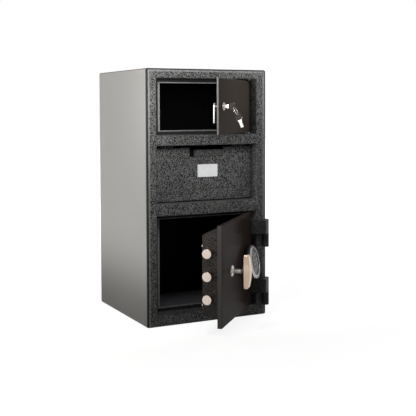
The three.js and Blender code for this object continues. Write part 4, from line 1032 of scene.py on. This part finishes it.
class SAFE_OT_set_stage(bpy.types.Operator):
    """Sets the pale floor, the room, three soft lights and the photograph's camera."""

    bl_idname = "safe.set_stage"
    bl_label = "Set the Stage"

    # Each light: its place, the point that it faces, its width and height in metres, and its beam's
    # spread in degrees
    SIDE = ((-1.10, 0.10, 0.60), (-0.18, 0.10, 0.60), 0.8, 0.95, 18.0)
    KEY = ((-0.30, -0.54, 0.70), (-0.17, -0.18, 0.62), 0.15, 0.15, 125.0)
    TOP = ((0.30, -0.50, 0.90), (0.16, -0.18, 0.66), 0.2, 0.2, 62.0)
    # The top light's power as a share of the key light's
    TOP_SHARE = 0.2
    # The floor's reach each way in metres, its colour, and what its glow gains far off
    FLOOR_REACH, FLOOR_COLOUR, FAR_LIFT = 12.0, (0.82, 0.82, 0.81, 1.0), 0.25

    def seen_ray(self, finish):
        """1 for rays that the camera, a gloss or a glass sends, 0 for those that only light."""
        rays = [
            finish.node("ShaderNodeLightPath", out=name)
            for name in ("Is Camera Ray", "Is Glossy Ray", "Is Transmission Ray")
        ]
        return (rays[0] + rays[1] + rays[2]).math("MINIMUM", 1.0)

    def room(self, studio):
        """The world: white where it is seen, and a plain level elsewhere."""
        world = bpy.data.worlds.new("room")
        bpy.context.scene.world = world
        finish = Finish("room", world)
        seen = self.seen_ray(finish)
        strength = seen * (1.0 - studio.ambient) + studio.ambient
        glow = finish.node("ShaderNodeBackground", {}, {"Color": grey(1.0), "Strength": strength})
        finish.node("ShaderNodeOutputWorld", {}, {"Surface": glow})

    def floor(self, studio):
        """A pale floor that keeps the safe's shadow. Where it is seen it is whitened, and more so
        far off, where its edge would show."""
        signs = np.array([[-1, -1, 0], [1, -1, 0], [1, 1, 0], [-1, 1, 0]])
        mesh = bpy.data.meshes.new("floor")
        mesh.from_pydata((signs * self.FLOOR_REACH).tolist(), [], [[0, 1, 2, 3]])
        floor = placed("floor", mesh)
        finish = Finish("floor_white")
        pale = finish.node("ShaderNodeBsdfDiffuse", {}, {"Color": self.FLOOR_COLOUR})
        away = finish.vector("LENGTH", finish.place, out="Value")
        far = finish.ramp(away * 0.4, (0.25, 0.0), (0.9, 1.0))
        lift = self.seen_ray(finish) * (far * self.FAR_LIFT + studio.floor_lift)
        glow = finish.node("ShaderNodeEmission", {}, {"Strength": lift})
        both = finish.node("ShaderNodeAddShader", {}, {0: pale, 1: glow})
        finish.node("ShaderNodeOutputMaterial", {}, {"Surface": both})
        mesh.materials.append(finish.block)

    def panel(self, name, power, place, target, width, height, spread):
        """A soft rectangular light at place that faces target."""
        light = bpy.data.lights.new(name, "AREA")
        light.shape = "RECTANGLE"
        light.size, light.size_y, light.energy = width, height, power
        light.spread = math.radians(spread)
        lamp = placed(name, light)
        back = unit(np.array(place) - np.array(target))
        right = unit(np.cross(UPWARD, back))
        lamp.matrix_world = axes_matrix(right, np.cross(back, right), back, place)
        lamp.visible_camera = False

    def camera(self):
        """The photograph's camera: its fitted place, heading, tilt and lens."""
        data = bpy.data.cameras.new("photo_camera")
        data.sensor_width, data.lens, data.shift_y = 36.0, CAMERA_LENS, CAMERA_SHIFT_Y
        data.clip_end = 100.0
        ahead = np.array([
            math.sin(CAMERA_YAW) * math.cos(CAMERA_PITCH),
            math.cos(CAMERA_YAW) * math.cos(CAMERA_PITCH),
            math.sin(CAMERA_PITCH),
        ])
        level = np.array([math.cos(CAMERA_YAW), -math.sin(CAMERA_YAW), 0.0])
        above = np.cross(level, ahead)
        right = math.cos(CAMERA_ROLL) * level + math.sin(CAMERA_ROLL) * above
        up = -math.sin(CAMERA_ROLL) * level + math.cos(CAMERA_ROLL) * above
        camera = placed("photo_camera", data)
        camera.matrix_world = axes_matrix(right, up, -ahead, CAMERA_PLACE)
        bpy.context.scene.camera = camera

    def execute(self, context):
        studio = context.scene.safe_studio
        context.scene.view_settings.view_transform = "Standard"
        self.room(studio)
        self.floor(studio)
        self.panel("side_panel", studio.side_power, *self.SIDE)
        self.panel("key_panel", studio.key_power, *self.KEY)
        self.panel("top_panel", studio.key_power * self.TOP_SHARE, *self.TOP)
        self.camera()
        return {"FINISHED"}


STEPS = (
    SAFE_OT_coat_cabinet,
    SAFE_OT_coat_doors,
    SAFE_OT_fit_bolts,
    SAFE_OT_fit_handle,
    SAFE_OT_fit_keypad,
    SAFE_OT_fit_lock,
    SAFE_OT_fit_screws,
    SAFE_OT_fix_plate,
    SAFE_OT_set_stage,
)


class SAFE_PT_looks(bpy.types.Panel):
    """Lists the safe's settings and steps in the sidebar."""

    bl_idname = "SAFE_PT_looks"
    bl_label = "Drop Safe Looks"
    bl_space_type = "VIEW_3D"
    bl_region_type = "UI"
    bl_category = "Safe"

    def draw(self, context):
        for group, kind in GROUPS.items():
            box = self.layout.box()
            for name in kind.__annotations__:
                box.prop(getattr(context.scene, group), name)
        for step in STEPS:
            self.layout.operator(step.bl_idname)


GROUPS = {"safe_coats": SafeCoats, "safe_fittings": SafeFittings, "safe_studio": SafeStudio}


def register():
    """Registers the settings, the steps and the sidebar's panel."""
    for name, group in GROUPS.items():
        bpy.utils.register_class(group)
        setattr(bpy.types.Scene, name, PointerProperty(type=group))
    for step in (*STEPS, SAFE_PT_looks):
        bpy.utils.register_class(step)


def unregister():
    """Takes them out again, last first."""
    for step in (SAFE_PT_looks, *reversed(STEPS)):
        bpy.utils.unregister_class(step)
    for name, group in reversed(GROUPS.items()):
        delattr(bpy.types.Scene, name)
        bpy.utils.unregister_class(group)


def main():
    """Runs every step in order."""
    register()
    for step in STEPS:
        space, name = step.bl_idname.split(".")
        getattr(getattr(bpy.ops, space), name)()


if __name__ == "__main__":
    main()
